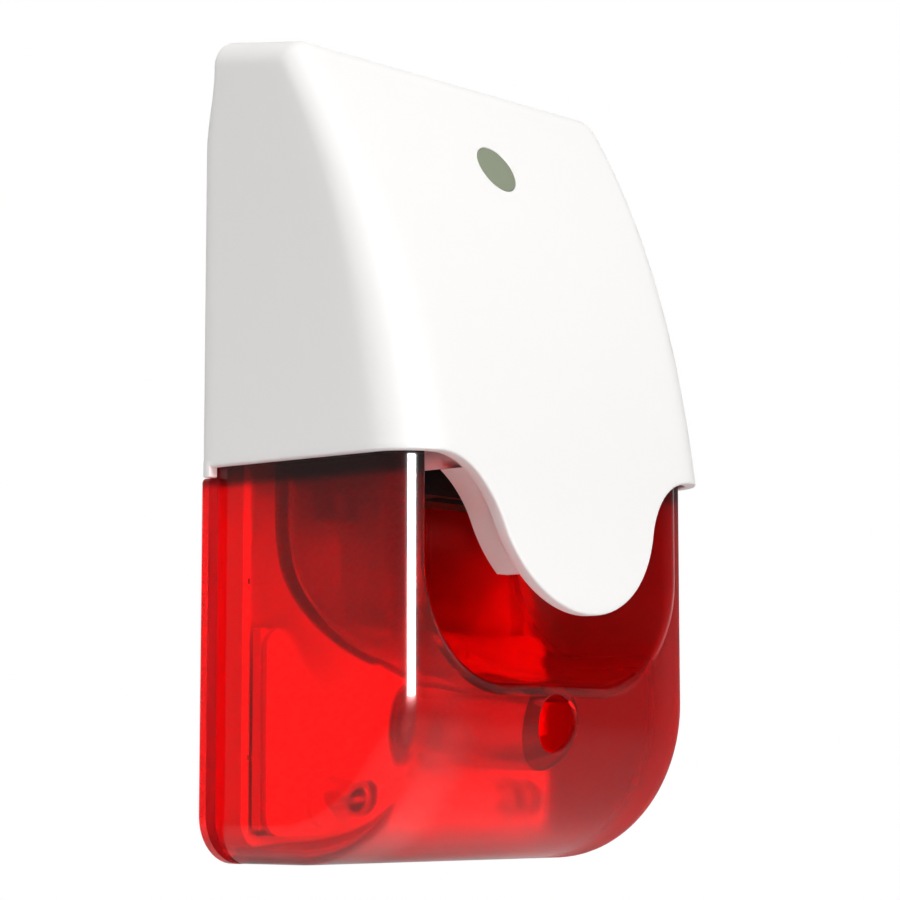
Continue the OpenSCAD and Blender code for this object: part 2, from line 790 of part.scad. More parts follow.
// Size of the transformer's core.
core_w = 10;
core_h = 11;
core_t = 8;
module transformer_core() color([0.25, 0.25, 0.27]) difference() {
    x = -side_x;
    z = driver_z + 2;
    block(x - core_w / 2, x + core_w / 2, board_front_d, board_front_d + core_t, z - core_h / 2, z + core_h / 2);
    for (s = [-1, 1])
        block(x - core_w / 2 - 1, x + core_w / 2 + 1, board_front_d + (s > 0 ? 5.2 : 1.2),
              board_front_d + (s > 0 ? 6.8 : 2.8), z - 3.5, z + 3.5);
}

module transformer_winding() color("khaki") difference() {
    x = -side_x;
    z = driver_z + 2;
    block(x - core_w / 2 - 0.4, x + core_w / 2 + 0.4, board_front_d + 1.3, board_front_d + 6.7, z - 3.4, z + 3.4);
    block(x - core_w / 2 - 1, x + core_w / 2 + 1, board_front_d + 2.7, board_front_d + 5.3, z - 4, z + 4);
}

module smoothing_capacitor() color([0.1, 0.12, 0.3]) difference() {
    rod(4, board_front_d, board_front_d + 8.5, side_x - 4, window_z - 1);
    rod(3, board_front_d + 8.2, board_front_d + 10, side_x - 4, window_z - 1);
}

module control_chip() color([0.08, 0.08, 0.08]) {
    x = -side_x + 10;
    block(x - 4.8, x + 4.8, board_front_d + 0.5, board_front_d + 3.8, window_z - 4.2, window_z + 2.2);
    for (i = [0:3], s = [-1, 1])
        block(x - 4.05 + i * 2.54, x - 3.57 + i * 2.54, board_front_d, board_front_d + 2.2,
              window_z - 1 + s * 3.6 - 0.5, window_z - 1 + s * 3.6 + 0.5);
}

module switching_transistor() color([0.1, 0.1, 0.1]) {
    x = -side_x;
    z = driver_z + 15.5;
    block(x - 5, x + 5, board_front_d + 2.6, board_front_d + 9, z - 1.5, z + 1.5);
    for (i = [-1, 0, 1])
        block(x + i * 2.54 - 0.4, x + i * 2.54 + 0.4, board_front_d, board_front_d + 3, z - 0.3, z + 0.3);
}

module board_resistors() color("tan")
    for (i = [0:4]) {
        z = driver_z + 6 - i * 3.2;
        x0 = -13;
        translate([x0, -board_front_d - 1.1, z]) rotate([0, 90, 0]) cylinder(r = 1.1, h = 6);
        translate([x0 - 1.5, -board_front_d - 1.1, z]) rotate([0, 90, 0]) cylinder(r = 0.3, h = 9);
        for (e = [-1.5, 6.9])
            block(x0 + e, x0 + e + 0.6, board_front_d, board_front_d + 1.4, z - 0.3, z + 0.3);
    }

// ---- tamper switch ----

module tamper_switch() color([0.12, 0.12, 0.12]) difference() {
    block(tamper_x - 3, tamper_x + 3, tamper_body_d, board_d, tamper_z - 3, tamper_z + 3);
    rod(tamper_stem_r + 0.1, 0, board_d - 0.6, tamper_x, tamper_z);
}

tamper_tip_d = tamper_pad_d + tamper_rest_gap;
module tamper_plunger() color("white") {
    rod(tamper_stem_r, tamper_tip_d + 0.2, tamper_body_d + tamper_travel + tamper_stem_in, tamper_x, tamper_z);
    rod(tamper_head_r, tamper_tip_d, tamper_tip_d + tamper_head_t, tamper_x, tamper_z);
}

// Coil spring between the switch and the plunger's head, as a tube swept along a helix.
spring_wire_r = 0.25;
spring_r = tamper_stem_r + 0.1 + 3 * spring_wire_r;
spring_turns = 3;
spring_steps = 16 * spring_turns;
spring_sides = 8;
module tamper_spring() color("silver") {
    d0 = tamper_tip_d + tamper_head_t + spring_wire_r + 0.02;
    d1 = tamper_body_d - spring_wire_r - 0.02;
    points = [for (i = [0:spring_steps], k = [0:spring_sides - 1])
        let (a = 360 * spring_turns * i / spring_steps, b = -360 * k / spring_sides,
             r = spring_r + spring_wire_r * cos(b))
        [tamper_x + r * cos(a), -(d0 + (d1 - d0) * i / spring_steps) - spring_wire_r * sin(b),
         tamper_z + r * sin(a)]];
    ring = [for (k = [0:spring_sides - 1]) k];
    last = spring_steps * spring_sides;
    sides = [for (i = [0:spring_steps - 1], k = ring)
        let (n = (k + 1) % spring_sides, at = i * spring_sides)
        [at + k, at + n, at + spring_sides + n, at + spring_sides + k]];
    polyhedron(points,
               concat([[for (k = ring) spring_sides - 1 - k]], sides, [[for (k = ring) last + k]]));
}

// ---- strobe ----

module strobe_board() color("darkgreen") difference() {
    block(-strobe_x, strobe_x, strobe_d, strobe_d + board_t, strobe_lo_z, strobe_hi_z);
    rod(well_r + strobe_hole_gap, 0, solid_depth, 0, screw_z);
}

// White reflector plate in front of the strobe board.
module strobe_reflector() color("whitesmoke") difference() {
    union() {
        deep(mirror_d, mirror_d + mirror_t)
            rounded_rect(strobe_x, strobe_lo_z - 1, strobe_hi_z, 3);
        deep(mirror_d, mirror_d + 2.4) difference() {
            rounded_rect(tube_len / 2 + 4, tube_z - 4.2, tube_z + 4.2, 3);
            rounded_rect(tube_len / 2 + 3, tube_z - 3.2, tube_z + 3.2, 2);
        }
    }
    rod(well_r + strobe_hole_gap, 0, solid_depth, 0, screw_z);
    both_sides() rod(holder_pin_r + fit, 0, solid_depth, holder_x, tube_z);
}

// Place and pin radius of the flash tube's holders.
holder_x = tube_len / 2 - 1;
holder_pin_r = 1;
module flash_tube() color([0.9, 0.93, 0.95, 0.7])
    translate([-tube_len / 2, -tube_d, tube_z]) rotate([0, 90, 0]) cylinder(r = tube_r, h = tube_len);

module tube_holders() color("silver") both_sides() {
    difference() {
        translate([holder_x - holder_t / 2, -tube_d, tube_z]) rotate([0, 90, 0])
            cylinder(r = tube_r + 0.9, h = holder_t);
        translate([holder_x - 3, -tube_d, tube_z]) rotate([0, 90, 0]) cylinder(r = tube_r + 0.05, h = 6);
    }
    difference() {
        rod(holder_pin_r, strobe_d + board_t, tube_d, holder_x, tube_z);
        translate([holder_x - 3, -tube_d, tube_z]) rotate([0, 90, 0]) cylinder(r = tube_r + 0.05, h = 6);
    }
}

module trigger_coil() color("goldenrod") {
    x = -strobe_x + 8;
    z = strobe_hi_z + 1;
    rod(2.4, strobe_d - 3.2, strobe_d, x, z - 6);
}

// Storage capacitor of the strobe, lying along the side of the main board.
module flash_capacitor() color([0.1, 0.12, 0.3])
    translate([side_x, -board_front_d - flash_cap_r, driver_z - 4])
        cylinder(r = flash_cap_r, h = flash_cap_len);

// Leads between the strobe board and the main board, down behind the recess.
module strobe_leads() color("firebrick")
    for (i = [0:2]) {
        x = lead_x + i * lead_pitch;
        z0 = strobe_hi_z - 3;
        z1 = board_lo_z + 3;
        rod(lead_r, lead_d, strobe_d, x, z0);
        translate([x, -lead_d, z0 - 1.5 * lead_r]) cylinder(r = lead_r, h = z1 - z0 + 3 * lead_r);
        rod(lead_r, lead_d, board_d, x, z1);
    }

// ---- housing screw ----

module housing_screw() color("silver") difference() {
    union() {
        rod(screw_head_r, screw_seat_d + 0.05, screw_seat_d + screw_head_t, 0, screw_z);
        rod(screw_shank_r, screw_tip_d, screw_seat_d + 0.5, 0, screw_z);
    }
    block(-2.2, 2.2, screw_seat_d + 1.2, 40, screw_z - 0.45, screw_z + 0.45);
    block(-0.45, 0.45, screw_seat_d + 1.2, 40, screw_z - 2.2, screw_z + 2.2);
}

base_plate();
cable_grommet();
cover();
power_window();
lens();
sound_duct();
siren_driver();
driver_cap();
piezo_disc();
driver_gasket();
driver_screws();
driver_leads();
main_board();
terminal_block();
terminal_screws();
power_led();
transformer_core();
transformer_winding();
smoothing_capacitor();
control_chip();
switching_transistor();
board_resistors();
board_screws();
tamper_switch();
tamper_plunger();
tamper_spring();
strobe_board();
strobe_reflector();
flash_tube();
tube_holders();
trigger_coil();
flash_capacitor();
strobe_leads();
housing_screw();
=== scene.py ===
import json
import math

import bmesh
import bpy
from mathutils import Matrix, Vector

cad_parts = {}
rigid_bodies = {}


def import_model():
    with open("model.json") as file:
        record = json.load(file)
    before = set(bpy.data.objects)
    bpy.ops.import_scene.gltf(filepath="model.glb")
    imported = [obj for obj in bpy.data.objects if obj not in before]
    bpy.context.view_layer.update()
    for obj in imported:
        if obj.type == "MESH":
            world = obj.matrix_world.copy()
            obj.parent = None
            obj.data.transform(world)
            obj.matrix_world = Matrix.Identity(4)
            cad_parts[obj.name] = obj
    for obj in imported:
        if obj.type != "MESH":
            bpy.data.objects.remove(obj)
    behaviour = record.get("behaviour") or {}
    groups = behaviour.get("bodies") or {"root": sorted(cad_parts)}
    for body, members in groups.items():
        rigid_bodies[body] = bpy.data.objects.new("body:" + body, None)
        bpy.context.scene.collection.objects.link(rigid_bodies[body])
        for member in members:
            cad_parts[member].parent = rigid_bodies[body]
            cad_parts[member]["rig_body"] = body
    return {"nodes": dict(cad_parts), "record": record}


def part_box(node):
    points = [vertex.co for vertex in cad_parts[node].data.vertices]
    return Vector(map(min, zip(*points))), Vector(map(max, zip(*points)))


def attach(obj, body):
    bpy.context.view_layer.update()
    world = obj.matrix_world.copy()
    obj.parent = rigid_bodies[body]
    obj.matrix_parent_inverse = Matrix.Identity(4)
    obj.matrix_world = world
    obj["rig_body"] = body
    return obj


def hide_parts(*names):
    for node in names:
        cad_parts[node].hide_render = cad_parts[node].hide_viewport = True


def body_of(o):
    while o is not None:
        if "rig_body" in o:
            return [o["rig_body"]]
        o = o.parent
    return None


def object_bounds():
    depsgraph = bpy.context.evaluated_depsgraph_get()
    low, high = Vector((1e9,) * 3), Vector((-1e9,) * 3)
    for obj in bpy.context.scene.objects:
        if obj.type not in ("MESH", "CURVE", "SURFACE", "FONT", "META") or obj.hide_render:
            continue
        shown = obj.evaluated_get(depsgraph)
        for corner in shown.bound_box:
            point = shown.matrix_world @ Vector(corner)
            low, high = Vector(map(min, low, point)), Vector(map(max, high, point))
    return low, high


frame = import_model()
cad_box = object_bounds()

# Wall siren with a strobe. Metres, +Z up, the front faces -Y, and the wall face is y = 0.
# A depth is the distance in front of the wall, so a depth of d lies at y = -d.

MM = 0.001

# ---- sizes that the shells share ----

COVER_LO, COVER_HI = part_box("cover")
SCREW_LO, SCREW_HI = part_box("housing_screw")

TOP_Z = cad_box[1].z
BOTTOM_Z = cad_box[0].z
TONGUE_Z = COVER_LO.z
HALF_W = COVER_HI.x
BACK_D = -COVER_HI.y
SEAM_Z = BOTTOM_Z + 57.5 * MM
DRAFT = math.tan(math.radians(1.4))

FACE_D = 40.8 * MM
FACE_LEAN = math.radians(8)
FACE_TOP_D = 15.8 * MM
TOP_FALL = math.radians(8)
TOP_BACK_D = 1.8 * MM
TOP_BACK_FROM_Z = TOP_Z - 17 * MM
TOP_BACK_FULL_Z = TOP_Z - 5 * MM
COVER_SIDE_T = 1.7 * MM
COVER_FRONT_T = 2.2 * MM
COVER_EDGE_LOW = 8 * MM
COVER_EDGE_HIGH = 4 * MM

BELL_R = 18.5 * MM
FLARE_R = 13.5 * MM
BELL_Z = TONGUE_Z + BELL_R
FLARE_Z = SEAM_Z - FLARE_R
FLARE_X = math.sqrt((BELL_R + FLARE_R) ** 2 - (BELL_Z - FLARE_Z) ** 2)
BELL_JOIN_X = FLARE_X * BELL_R / (BELL_R + FLARE_R)

LENS_W = HALF_W - 1.9 * MM
LENS_D = -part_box("lens")[0].y
LENS_T = 2 * MM
LENS_EDGE = 6 * MM
LENS_TURN = 24 * MM
LENS_TOP_Z = SEAM_Z + 4 * MM
FLANGE_D = BACK_D + 1.4 * MM
FLANGE_TOP_Z = SEAM_Z - 1.6 * MM
FLANGE_R = 7 * MM

SCOOP_X = 28.2 * MM
SCOOP_CORNER = 17 * MM
SCOOP_R = 24 * MM
SCOOP_BACK_D = 10 * MM
SCOOP_LOW_Z = BOTTOM_Z + 26.2 * MM

WELL_Z = (SCREW_LO.z + SCREW_HI.z) / 2
WELL_R = 4.2 * MM
WELL_WALL = 2.2 * MM
WELL_SEAT_D = 8.6 * MM
WELL_FLOOR = 1.6 * MM

WINDOW_Z = BOTTOM_Z + 104.4 * MM
WINDOW_R = 4 * MM

# A solid that is joined to a shell stays this far inside its skin, and a cutter goes this far
# past what it cuts.
SKIN_GAP = 0.02 * MM
CUT_PAST = 3 * MM

SLOT_OF = {part["node"]: part["material_slot"] for part in frame["record"]["subparts"]}


# ---- mesh helpers ----

def mesh_object(name, points, faces):
    """A new object from points and faces, with doubles merged and normals outward."""
    mesh = bpy.data.meshes.new(name)
    mesh.from_pydata([tuple(p) for p in points], [], faces)
    obj = bpy.data.objects.new(name, mesh)
    bpy.context.scene.collection.objects.link(obj)
    tidy_mesh(obj)
    return obj


def tidy_mesh(obj, gap=1e-6):
    """Merges doubles and turns every face outward."""
    bm = bmesh.new()
    bm.from_mesh(obj.data)
    bmesh.ops.remove_doubles(bm, verts=bm.verts, dist=gap)
    bmesh.ops.recalc_face_normals(bm, faces=bm.faces)
    bm.to_mesh(obj.data)
    bm.free()


def grid_faces(rows, cols, start=0):
    """Quads between neighbouring rows of cols points each."""
    return [
        (a, a + 1, a + cols + 1, a + cols)
        for row in range(rows - 1)
        for a in range(start + row * cols, start + row * cols + cols - 1)
    ]


def steps(start, end, count):
    """count + 1 even values from start to end."""
    return [start + (end - start) * i / count for i in range(count + 1)]


def smooth_step(value, low, high):
    """0 below low, 1 above high and a soft rise between them."""
    t = min(max((value - low) / (high - low), 0), 1)
    return t * t * (3 - 2 * t)


def solid_between(name, ring, other):
    """A closed solid between two rings with the same number of points."""
    n = len(ring)
    faces = [tuple(range(n)), tuple(range(2 * n - 1, n - 1, -1))]
    faces += [(i, (i + 1) % n, n + (i + 1) % n, n + i) for i in range(n)]
    return mesh_object(name, ring + other, faces)


def side_prism(name, outline, x0, x1):
    """A closed solid from an outline of (depth, z) points, between two places across."""
    return solid_between(name, *[[Vector((x, -d, z)) for d, z in outline] for x in (x0, x1)])


def prism(name, outline, d0, d1):
    """A closed solid from an outline of (x, z) points, between two depths."""
    return solid_between(name, *[[Vector((x, -d, z)) for x, z in outline] for d in (d0, d1)])


def block(name, side, x0, x1, d0, d1, z0, z1):
    """A box on one side of the middle, between two depths and two heights."""
    corners = [(side * x0, z0), (side * x1, z0), (side * x1, z1), (side * x0, z1)]
    return prism(name, corners, d0, d1)


def turned(name, profile, segments=64):
    """A closed solid turned about the Y axis from (radius, depth) points that end on the axis."""
    points, faces = [], []
    n = len(profile)
    for a in steps(0, 2 * math.pi, segments)[:-1]:
        points += [Vector((r * math.cos(a), -d, r * math.sin(a))) for r, d in profile]
    for k in range(segments):
        m = (k + 1) % segments
        for i in range(n - 1):
            faces.append((k * n + i, k * n + i + 1, m * n + i + 1, m * n + i))
    return mesh_object(name, points, faces)


def moved(obj, x, z):
    """Moves a solid's mesh across by x and up by z."""
    for v in obj.data.vertices:
        v.co += Vector((x, 0, z))
    return obj


def combine(obj, other, operation):
    """obj becomes its union, difference or intersection with other, which is removed."""
    modifier = obj.modifiers.new("combine", "BOOLEAN")
    modifier.operation = operation
    modifier.object = other
    modifier.solver = "MANIFOLD"
    bake_modifiers(obj)
    bpy.data.objects.remove(other)
    return obj


def bake_modifiers(obj):
    """The evaluated shape becomes the object's own mesh."""
    graph = bpy.context.evaluated_depsgraph_get()
    mesh = bpy.data.meshes.new_from_object(obj.evaluated_get(graph))
    old = obj.data
    obj.modifiers.clear()
    obj.data = mesh
    bpy.data.meshes.remove(old)
    return obj


def bevel_edges(obj, width, segments=3, angle=50):
    """Rounds every edge that is sharper than angle."""
    modifier = obj.modifiers.new("rounding", "BEVEL")
    modifier.width = width
    modifier.segments = segments
    modifier.limit_method = "ANGLE"
    modifier.angle_limit = math.radians(angle)
    return bake_modifiers(obj)


def smooth_faces(obj, angle=35):
    """Smooth shading, kept sharp at edges past angle."""
    bm = bmesh.new()
    bm.from_mesh(obj.data)
    for face in bm.faces:
        face.smooth = True
    limit = math.radians(angle)
    for edge in bm.edges:
        edge.smooth = len(edge.link_faces) != 2 or edge.calc_face_angle(0) < limit
    bm.to_mesh(obj.data)
    bm.free()
    return obj


def finish(obj, body, slot, node):
    """Gives a piece its slot's material, ties it to its body and hides the node it replaces."""
    obj.data.materials.clear()
    obj.data.materials.append(MATERIALS[slot])
    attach(obj, body)
    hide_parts(node)
    return obj


# ---- shader node helpers ----

def set_inputs(node, values):
    """Puts values on a node's inputs. Their names have underscores for spaces."""
    for name, value in values.items():
        node.inputs[name.replace("_", " ")].default_value = value


def add_node(tree, kind, **values):
    """A new node with values on its inputs."""
    made = tree.nodes.new(kind)
    set_inputs(made, values)
    return made


def use_group(tree, group, **values):
    """A node group placed in a tree, with values on its inputs."""
    made = tree.nodes.new("ShaderNodeGroup")
    made.node_tree = group
    set_inputs(made, values)
    return made


def new_group(name, inputs, outputs):
    """An empty shader node group with float inputs and the outputs given as (name, kind)."""
    tree = bpy.data.node_groups.new(name, "ShaderNodeTree")
    for key, value in inputs.items():
        socket = tree.interface.new_socket(key, in_out="INPUT", socket_type="NodeSocketFloat")
        socket.default_value = value
    for key, kind in outputs:
        tree.interface.new_socket(key, in_out="OUTPUT", socket_type=kind)
    return tree, tree.nodes.new("NodeGroupInput"), tree.nodes.new("NodeGroupOutput")


def math_node(tree, operation, a, b):
    """A math node whose inputs are sockets or numbers."""
    made = tree.nodes.new("ShaderNodeMath")
    made.operation = operation
    for socket, value in zip(made.inputs, (a, b)):
        if isinstance(value, (int, float)):
            socket.default_value = value
        else:
            tree.links.new(value, socket)
    return made.outputs[0]


def ramp(tree, value, low, high, falling=False):
    """A smooth mask that rises, or falls, while value goes from low to high."""
    made = add_node(tree, "ShaderNodeMapRange", From_Min=low, From_Max=high,
                    To_Min=1 if falling else 0, To_Max=0 if falling else 1)
    made.interpolation_type = "SMOOTHSTEP"
    tree.links.new(value, made.inputs["Value"])
    return made.outputs["Result"]


def mix_colours(tree, mask, first, second):
    """A colour mix whose ends are colours or sockets."""
    made = tree.nodes.new("ShaderNodeMix")
    made.data_type = "RGBA"
    tree.links.new(mask, made.inputs[0])
    for socket, value in ((made.inputs[6], first), (made.inputs[7], second)):
        if isinstance(value, tuple):
            socket.default_value = (*value, 1)
        else:
            tree.links.new(value, socket)
    return made.outputs[2]


def mix_shaders(tree, share, first, second, out):
    """Sends a mix of two shaders to an output. A share of 0 is all the first one."""
    mix = tree.nodes.new("ShaderNodeMixShader")
    for socket, source in zip(mix.inputs, (share, first.outputs[0], second.outputs[0])):
        tree.links.new(source, socket)
    tree.links.new(mix.outputs[0], out.inputs["Surface"])


def new_material(name):
    """A material with one Principled shader: the material, its tree, the shader, the output."""
    material = bpy.data.materials.new(name)
    material.use_nodes = True
    tree = material.node_tree
    tree.nodes.clear()
    shader = tree.nodes.new("ShaderNodeBsdfPrincipled")
    out = tree.nodes.new("ShaderNodeOutputMaterial")
    tree.links.new(shader.outputs[0], out.inputs["Surface"])
    return material, tree, shader, out


# ---- camera ----

CAMERA_PLACE = Vector((-315.7, -291.7, -49.4)) * MM
CAMERA_YAW = math.radians(48.93)
CAMERA_PITCH = math.radians(6.88)
CAMERA_LENS = 110.6
CAMERA_SENSOR_W = 36


def make_camera():
    """The camera low at the front left, looking a little up."""
    look = Vector((
        math.sin(CAMERA_YAW) * math.cos(CAMERA_PITCH),
        math.cos(CAMERA_YAW) * math.cos(CAMERA_PITCH),
        math.sin(CAMERA_PITCH),
    ))
    data = bpy.data.cameras.new("camera")
    data.lens = CAMERA_LENS
    data.sensor_width = CAMERA_SENSOR_W
    data.clip_start = 0.01
    data.clip_end = 20
    camera = bpy.data.objects.new("camera", data)
    camera.location = CAMERA_PLACE
    camera.rotation_mode = "QUATERNION"
    camera.rotation_quaternion = look.to_track_quat("-Z", "Y")
    bpy.context.scene.collection.objects.link(camera)
    bpy.context.scene.camera = camera


# ---- light and floor ----

ROOM_LIGHT = 0.3


def soft_box(name, azimuth, elevation, distance, width, height, power):
    """A rectangular lamp that faces the siren. Azimuth 0 is straight in front, 90 is left."""
    a, e = math.radians(azimuth), math.radians(elevation)
    away = Vector((-math.sin(a) * math.cos(e), -math.cos(a) * math.cos(e), math.sin(e)))
    data = bpy.data.lights.new(name, "AREA")
    data.shape = "RECTANGLE"
    data.size, data.size_y = width, height
    data.energy = power
    lamp = bpy.data.objects.new(name, data)
    lamp.location = away * distance
    lamp.rotation_mode = "QUATERNION"
    lamp.rotation_quaternion = away.to_track_quat("Z", "Y")
    bpy.context.scene.collection.objects.link(lamp)
    return lamp


def make_light():
    """Three soft boxes light the siren. A fourth one is seen only as a streak in its skin."""
    key = soft_box("key_lamp", azimuth=28, elevation=38, distance=1.3,
                   width=0.6, height=0.6, power=12.5)
    fill = soft_box("fill_lamp", azimuth=100, elevation=20, distance=1.5,
                    width=1.2, height=1.2, power=1.4)
    right = soft_box("right_lamp", azimuth=-50, elevation=30, distance=1.8,
                     width=0.8, height=0.8, power=3.4)
    for lamp in (key, fill, right):
        lamp.visible_glossy = False
    streak = soft_box("streak_lamp", azimuth=21, elevation=5, distance=1.2,
                      width=0.42, height=0.3, power=50)
    streak.visible_diffuse = False
    streak.visible_transmission = False
    make_world()


def make_world():
    """A white backdrop for the camera that lights the siren only faintly."""
    world = bpy.data.worlds.new("studio")
    bpy.context.scene.world = world
    world.use_nodes = True
    tree = world.node_tree
    tree.nodes.clear()
    seen = add_node(tree, "ShaderNodeBackground", Color=(1, 1, 1, 1), Strength=1.0)
    room = add_node(tree, "ShaderNodeBackground", Color=(1, 0.99, 0.98, 1), Strength=ROOM_LIGHT)
    rays = add_node(tree, "ShaderNodeLightPath")
    out = tree.nodes.new("ShaderNodeOutputWorld")
    mix_shaders(tree, rays.outputs["Is Camera Ray"], room, seen, out)
    bpy.context.scene.view_settings.view_transform = "Standard"


FLOOR_DROP = 20 * MM
FLOOR_HALF_W = 6
FLOOR_FADE_FROM = 0.1
FLOOR_FADE_TO = 0.32


def make_floor():
    """A pale floor that fades into the white backdrop away from the siren."""
    half = FLOOR_HALF_W
    z = BOTTOM_Z - FLOOR_DROP
    corners = [(-half, -half, z), (half, -half, z), (half, half, z), (-half, half, z)]
    floor = mesh_object("floor", corners, [(0, 1, 2, 3)])
    material, tree, shader, out = new_material("floor_paint")
    set_inputs(shader, {"Base Color": (0.92, 0.92, 0.92, 1), "Roughness": 0.8})
    place = add_node(tree, "ShaderNodeTexCoord")
    away = add_node(tree, "ShaderNodeVectorMath")
    away.operation = "LENGTH"
    tree.links.new(place.outputs["Object"], away.inputs[0])
    fade = ramp(tree, away.outputs["Value"], FLOOR_FADE_FROM, FLOOR_FADE_TO)
    glow = add_node(tree, "ShaderNodeEmission", Color=(1, 1, 1, 1))
    rays = add_node(tree, "ShaderNodeLightPath")
    level = math_node(tree, "MULTIPLY", rays.outputs["Is Camera Ray"], 1 - ROOM_LIGHT)
    tree.links.new(math_node(tree, "ADD", level, ROOM_LIGHT), glow.inputs["Strength"])
    mix_shaders(tree, fade, shader, glow, out)
    floor.data.materials.append(material)


# ---- materials ----

def moulded_grain_group():
    """Fine even texture of a moulded surface, with slow swells that catch soft light."""
    tree, given, result = new_group(
        "moulded_grain", {"Grain Scale": 9000, "Swell": 0.15, "Tone": 0.1},
        [("Height", "NodeSocketFloat"), ("Mask", "NodeSocketFloat")])
    place = add_node(tree, "ShaderNodeTexCoord")
    grain = add_node(tree, "ShaderNodeTexNoise", Detail=3, Roughness=0.6)
    tree.links.new(place.outputs["Object"], grain.inputs["Vector"])
    tree.links.new(given.outputs["Grain Scale"], grain.inputs["Scale"])
    swell = add_node(tree, "ShaderNodeTexNoise", Scale=90, Detail=2)
    tree.links.new(place.outputs["Object"], swell.inputs["Vector"])
    slow = math_node(tree, "MULTIPLY", swell.outputs[0], given.outputs["Swell"])
    tree.links.new(math_node(tree, "ADD", grain.outputs[0], slow), result.inputs["Height"])
    blotch = add_node(tree, "ShaderNodeTexNoise", Scale=35, Detail=4, Roughness=0.55)
    tree.links.new(place.outputs["Object"], blotch.inputs["Vector"])
    tree.links.new(math_node(tree, "MULTIPLY", blotch.outputs[0], given.outputs["Tone"]),
                   result.inputs["Mask"])
    return tree


GRAIN = moulded_grain_group()
GRAIN_HEIGHT = 0.1 * MM
DARKER = 0.8


def grained_skin(tree, shader, effect, roughness, bump):
    """Uneven gloss and a fine bump from the moulded grain."""
    gloss = math_node(tree, "ADD", effect.outputs["Mask"], roughness)
    tree.links.new(gloss, shader.inputs["Roughness"])
    height = add_node(tree, "ShaderNodeBump", Strength=bump, Distance=GRAIN_HEIGHT)
    tree.links.new(effect.outputs["Height"], height.inputs["Height"])
    tree.links.new(height.outputs[0], shader.inputs["Normal"])
    return gloss


def plastic(name, colour, roughness, grain=9000, bump=0.02, tone=0.08, **sockets):
    """Moulded plastic: fine grain, faint tone change and uneven gloss.

    Any other value goes on the shader's own socket of that name.
    """
    material, tree, shader, _ = new_material(name)
    effect = use_group(tree, GRAIN, Grain_Scale=grain, Swell=0.3, Tone=tone)
    darker = tuple(c * DARKER for c in colour)
    tree.links.new(mix_colours(tree, effect.outputs["Mask"], colour, darker),
                   shader.inputs["Base Color"])
    grained_skin(tree, shader, effect, roughness - tone / 2, bump)
    set_inputs(shader, {"Specular IOR Level": 0.2, **sockets})
    return material


def metal(name, colour, roughness):
    """Bare metal with a coarser grain and more uneven gloss than the plastics."""
    return plastic(name, colour, roughness, grain=4000, bump=0.05, tone=0.15,
                   Metallic=1, Specular_IOR_Level=0.5)


# Painted shade: the lens's red turns near black in a band just under the cover's lower edge.
LIP_SHADE_Z = (SEAM_Z - 3.4 * MM, SEAM_Z - 1.8 * MM)
POLISH_X = (-24 * MM, -16 * MM)
SOFT_X = (20 * MM, 27 * MM)
# Painted shade: the lens gets a deeper red inside the recess, which the tongue and cover shade.
RECESS_SHADE_X = (SCOOP_X + 0.5 * MM, SCOOP_X + 2 * MM)
RECESS_SHADE_Z = (SCOOP_LOW_Z - 1 * MM, SCOOP_LOW_Z + 6 * MM)
RECESS_SHADE_Y = (-LENS_D + 0.4 * MM, -LENS_D + 2 * MM)


def lens_zones_group():
    """Masks of the lens: painted shade under the cover's edge, polished left corner, painted shade
    in the recess, and blurred right side.
    """
    tree, given, result = new_group(
        "lens_zones", {"Polish": 0.6, "Recess": 1.0},
        [(zone, "NodeSocketFloat") for zone in ("Lip", "Polish", "Recess", "Soft")])
    place = add_node(tree, "ShaderNodeTexCoord")
    parts = add_node(tree, "ShaderNodeSeparateXYZ")
    tree.links.new(place.outputs["Object"], parts.inputs[0])
    across, along, up = parts.outputs
    tree.links.new(ramp(tree, up, *LIP_SHADE_Z), result.inputs["Lip"])
    corner = ramp(tree, across, *POLISH_X, falling=True)
    tree.links.new(math_node(tree, "MULTIPLY", corner, given.outputs["Polish"]),
                   result.inputs["Polish"])
    tree.links.new(ramp(tree, across, *SOFT_X), result.inputs["Soft"])
    wide = math_node(tree, "ABSOLUTE", across, 0)
    inside = ramp(tree, wide, *RECESS_SHADE_X, falling=True)
    high = ramp(tree, up, *RECESS_SHADE_Z)
    deep = ramp(tree, along, *RECESS_SHADE_Y)
    both = math_node(tree, "MULTIPLY", math_node(tree, "MULTIPLY", inside, high), deep)
    tree.links.new(math_node(tree, "MULTIPLY", both, given.outputs["Recess"]),
                   result.inputs["Recess"])
    return tree


def clear_moulding(name, colour, roughness, ior, shadow_tint):
    """Clear moulding: its material, tree, shader and the socket that gives its roughness.

    Lamp light passes straight through it with a tint.
    """
    material, tree, shader, out = new_material(name)
    effect = use_group(tree, GRAIN, Grain_Scale=2500, Swell=2.0, Tone=0.04)
    set_inputs(shader, {"Base Color": (*colour, 1), "Transmission Weight": 1, "IOR": ior})
    gloss = grained_skin(tree, shader, effect, roughness, 0.01)
    rays = add_node(tree, "ShaderNodeLightPath")
    through = add_node(tree, "ShaderNodeBsdfTransparent", Color=(*shadow_tint, 1))
    mix_shaders(tree, rays.outputs["Is Shadow Ray"], shader, through, out)
    return material, tree, shader, gloss


def clear_plastic(name, *look):
    """A small clear piece of one colour."""
    return clear_moulding(name, *look)[0]


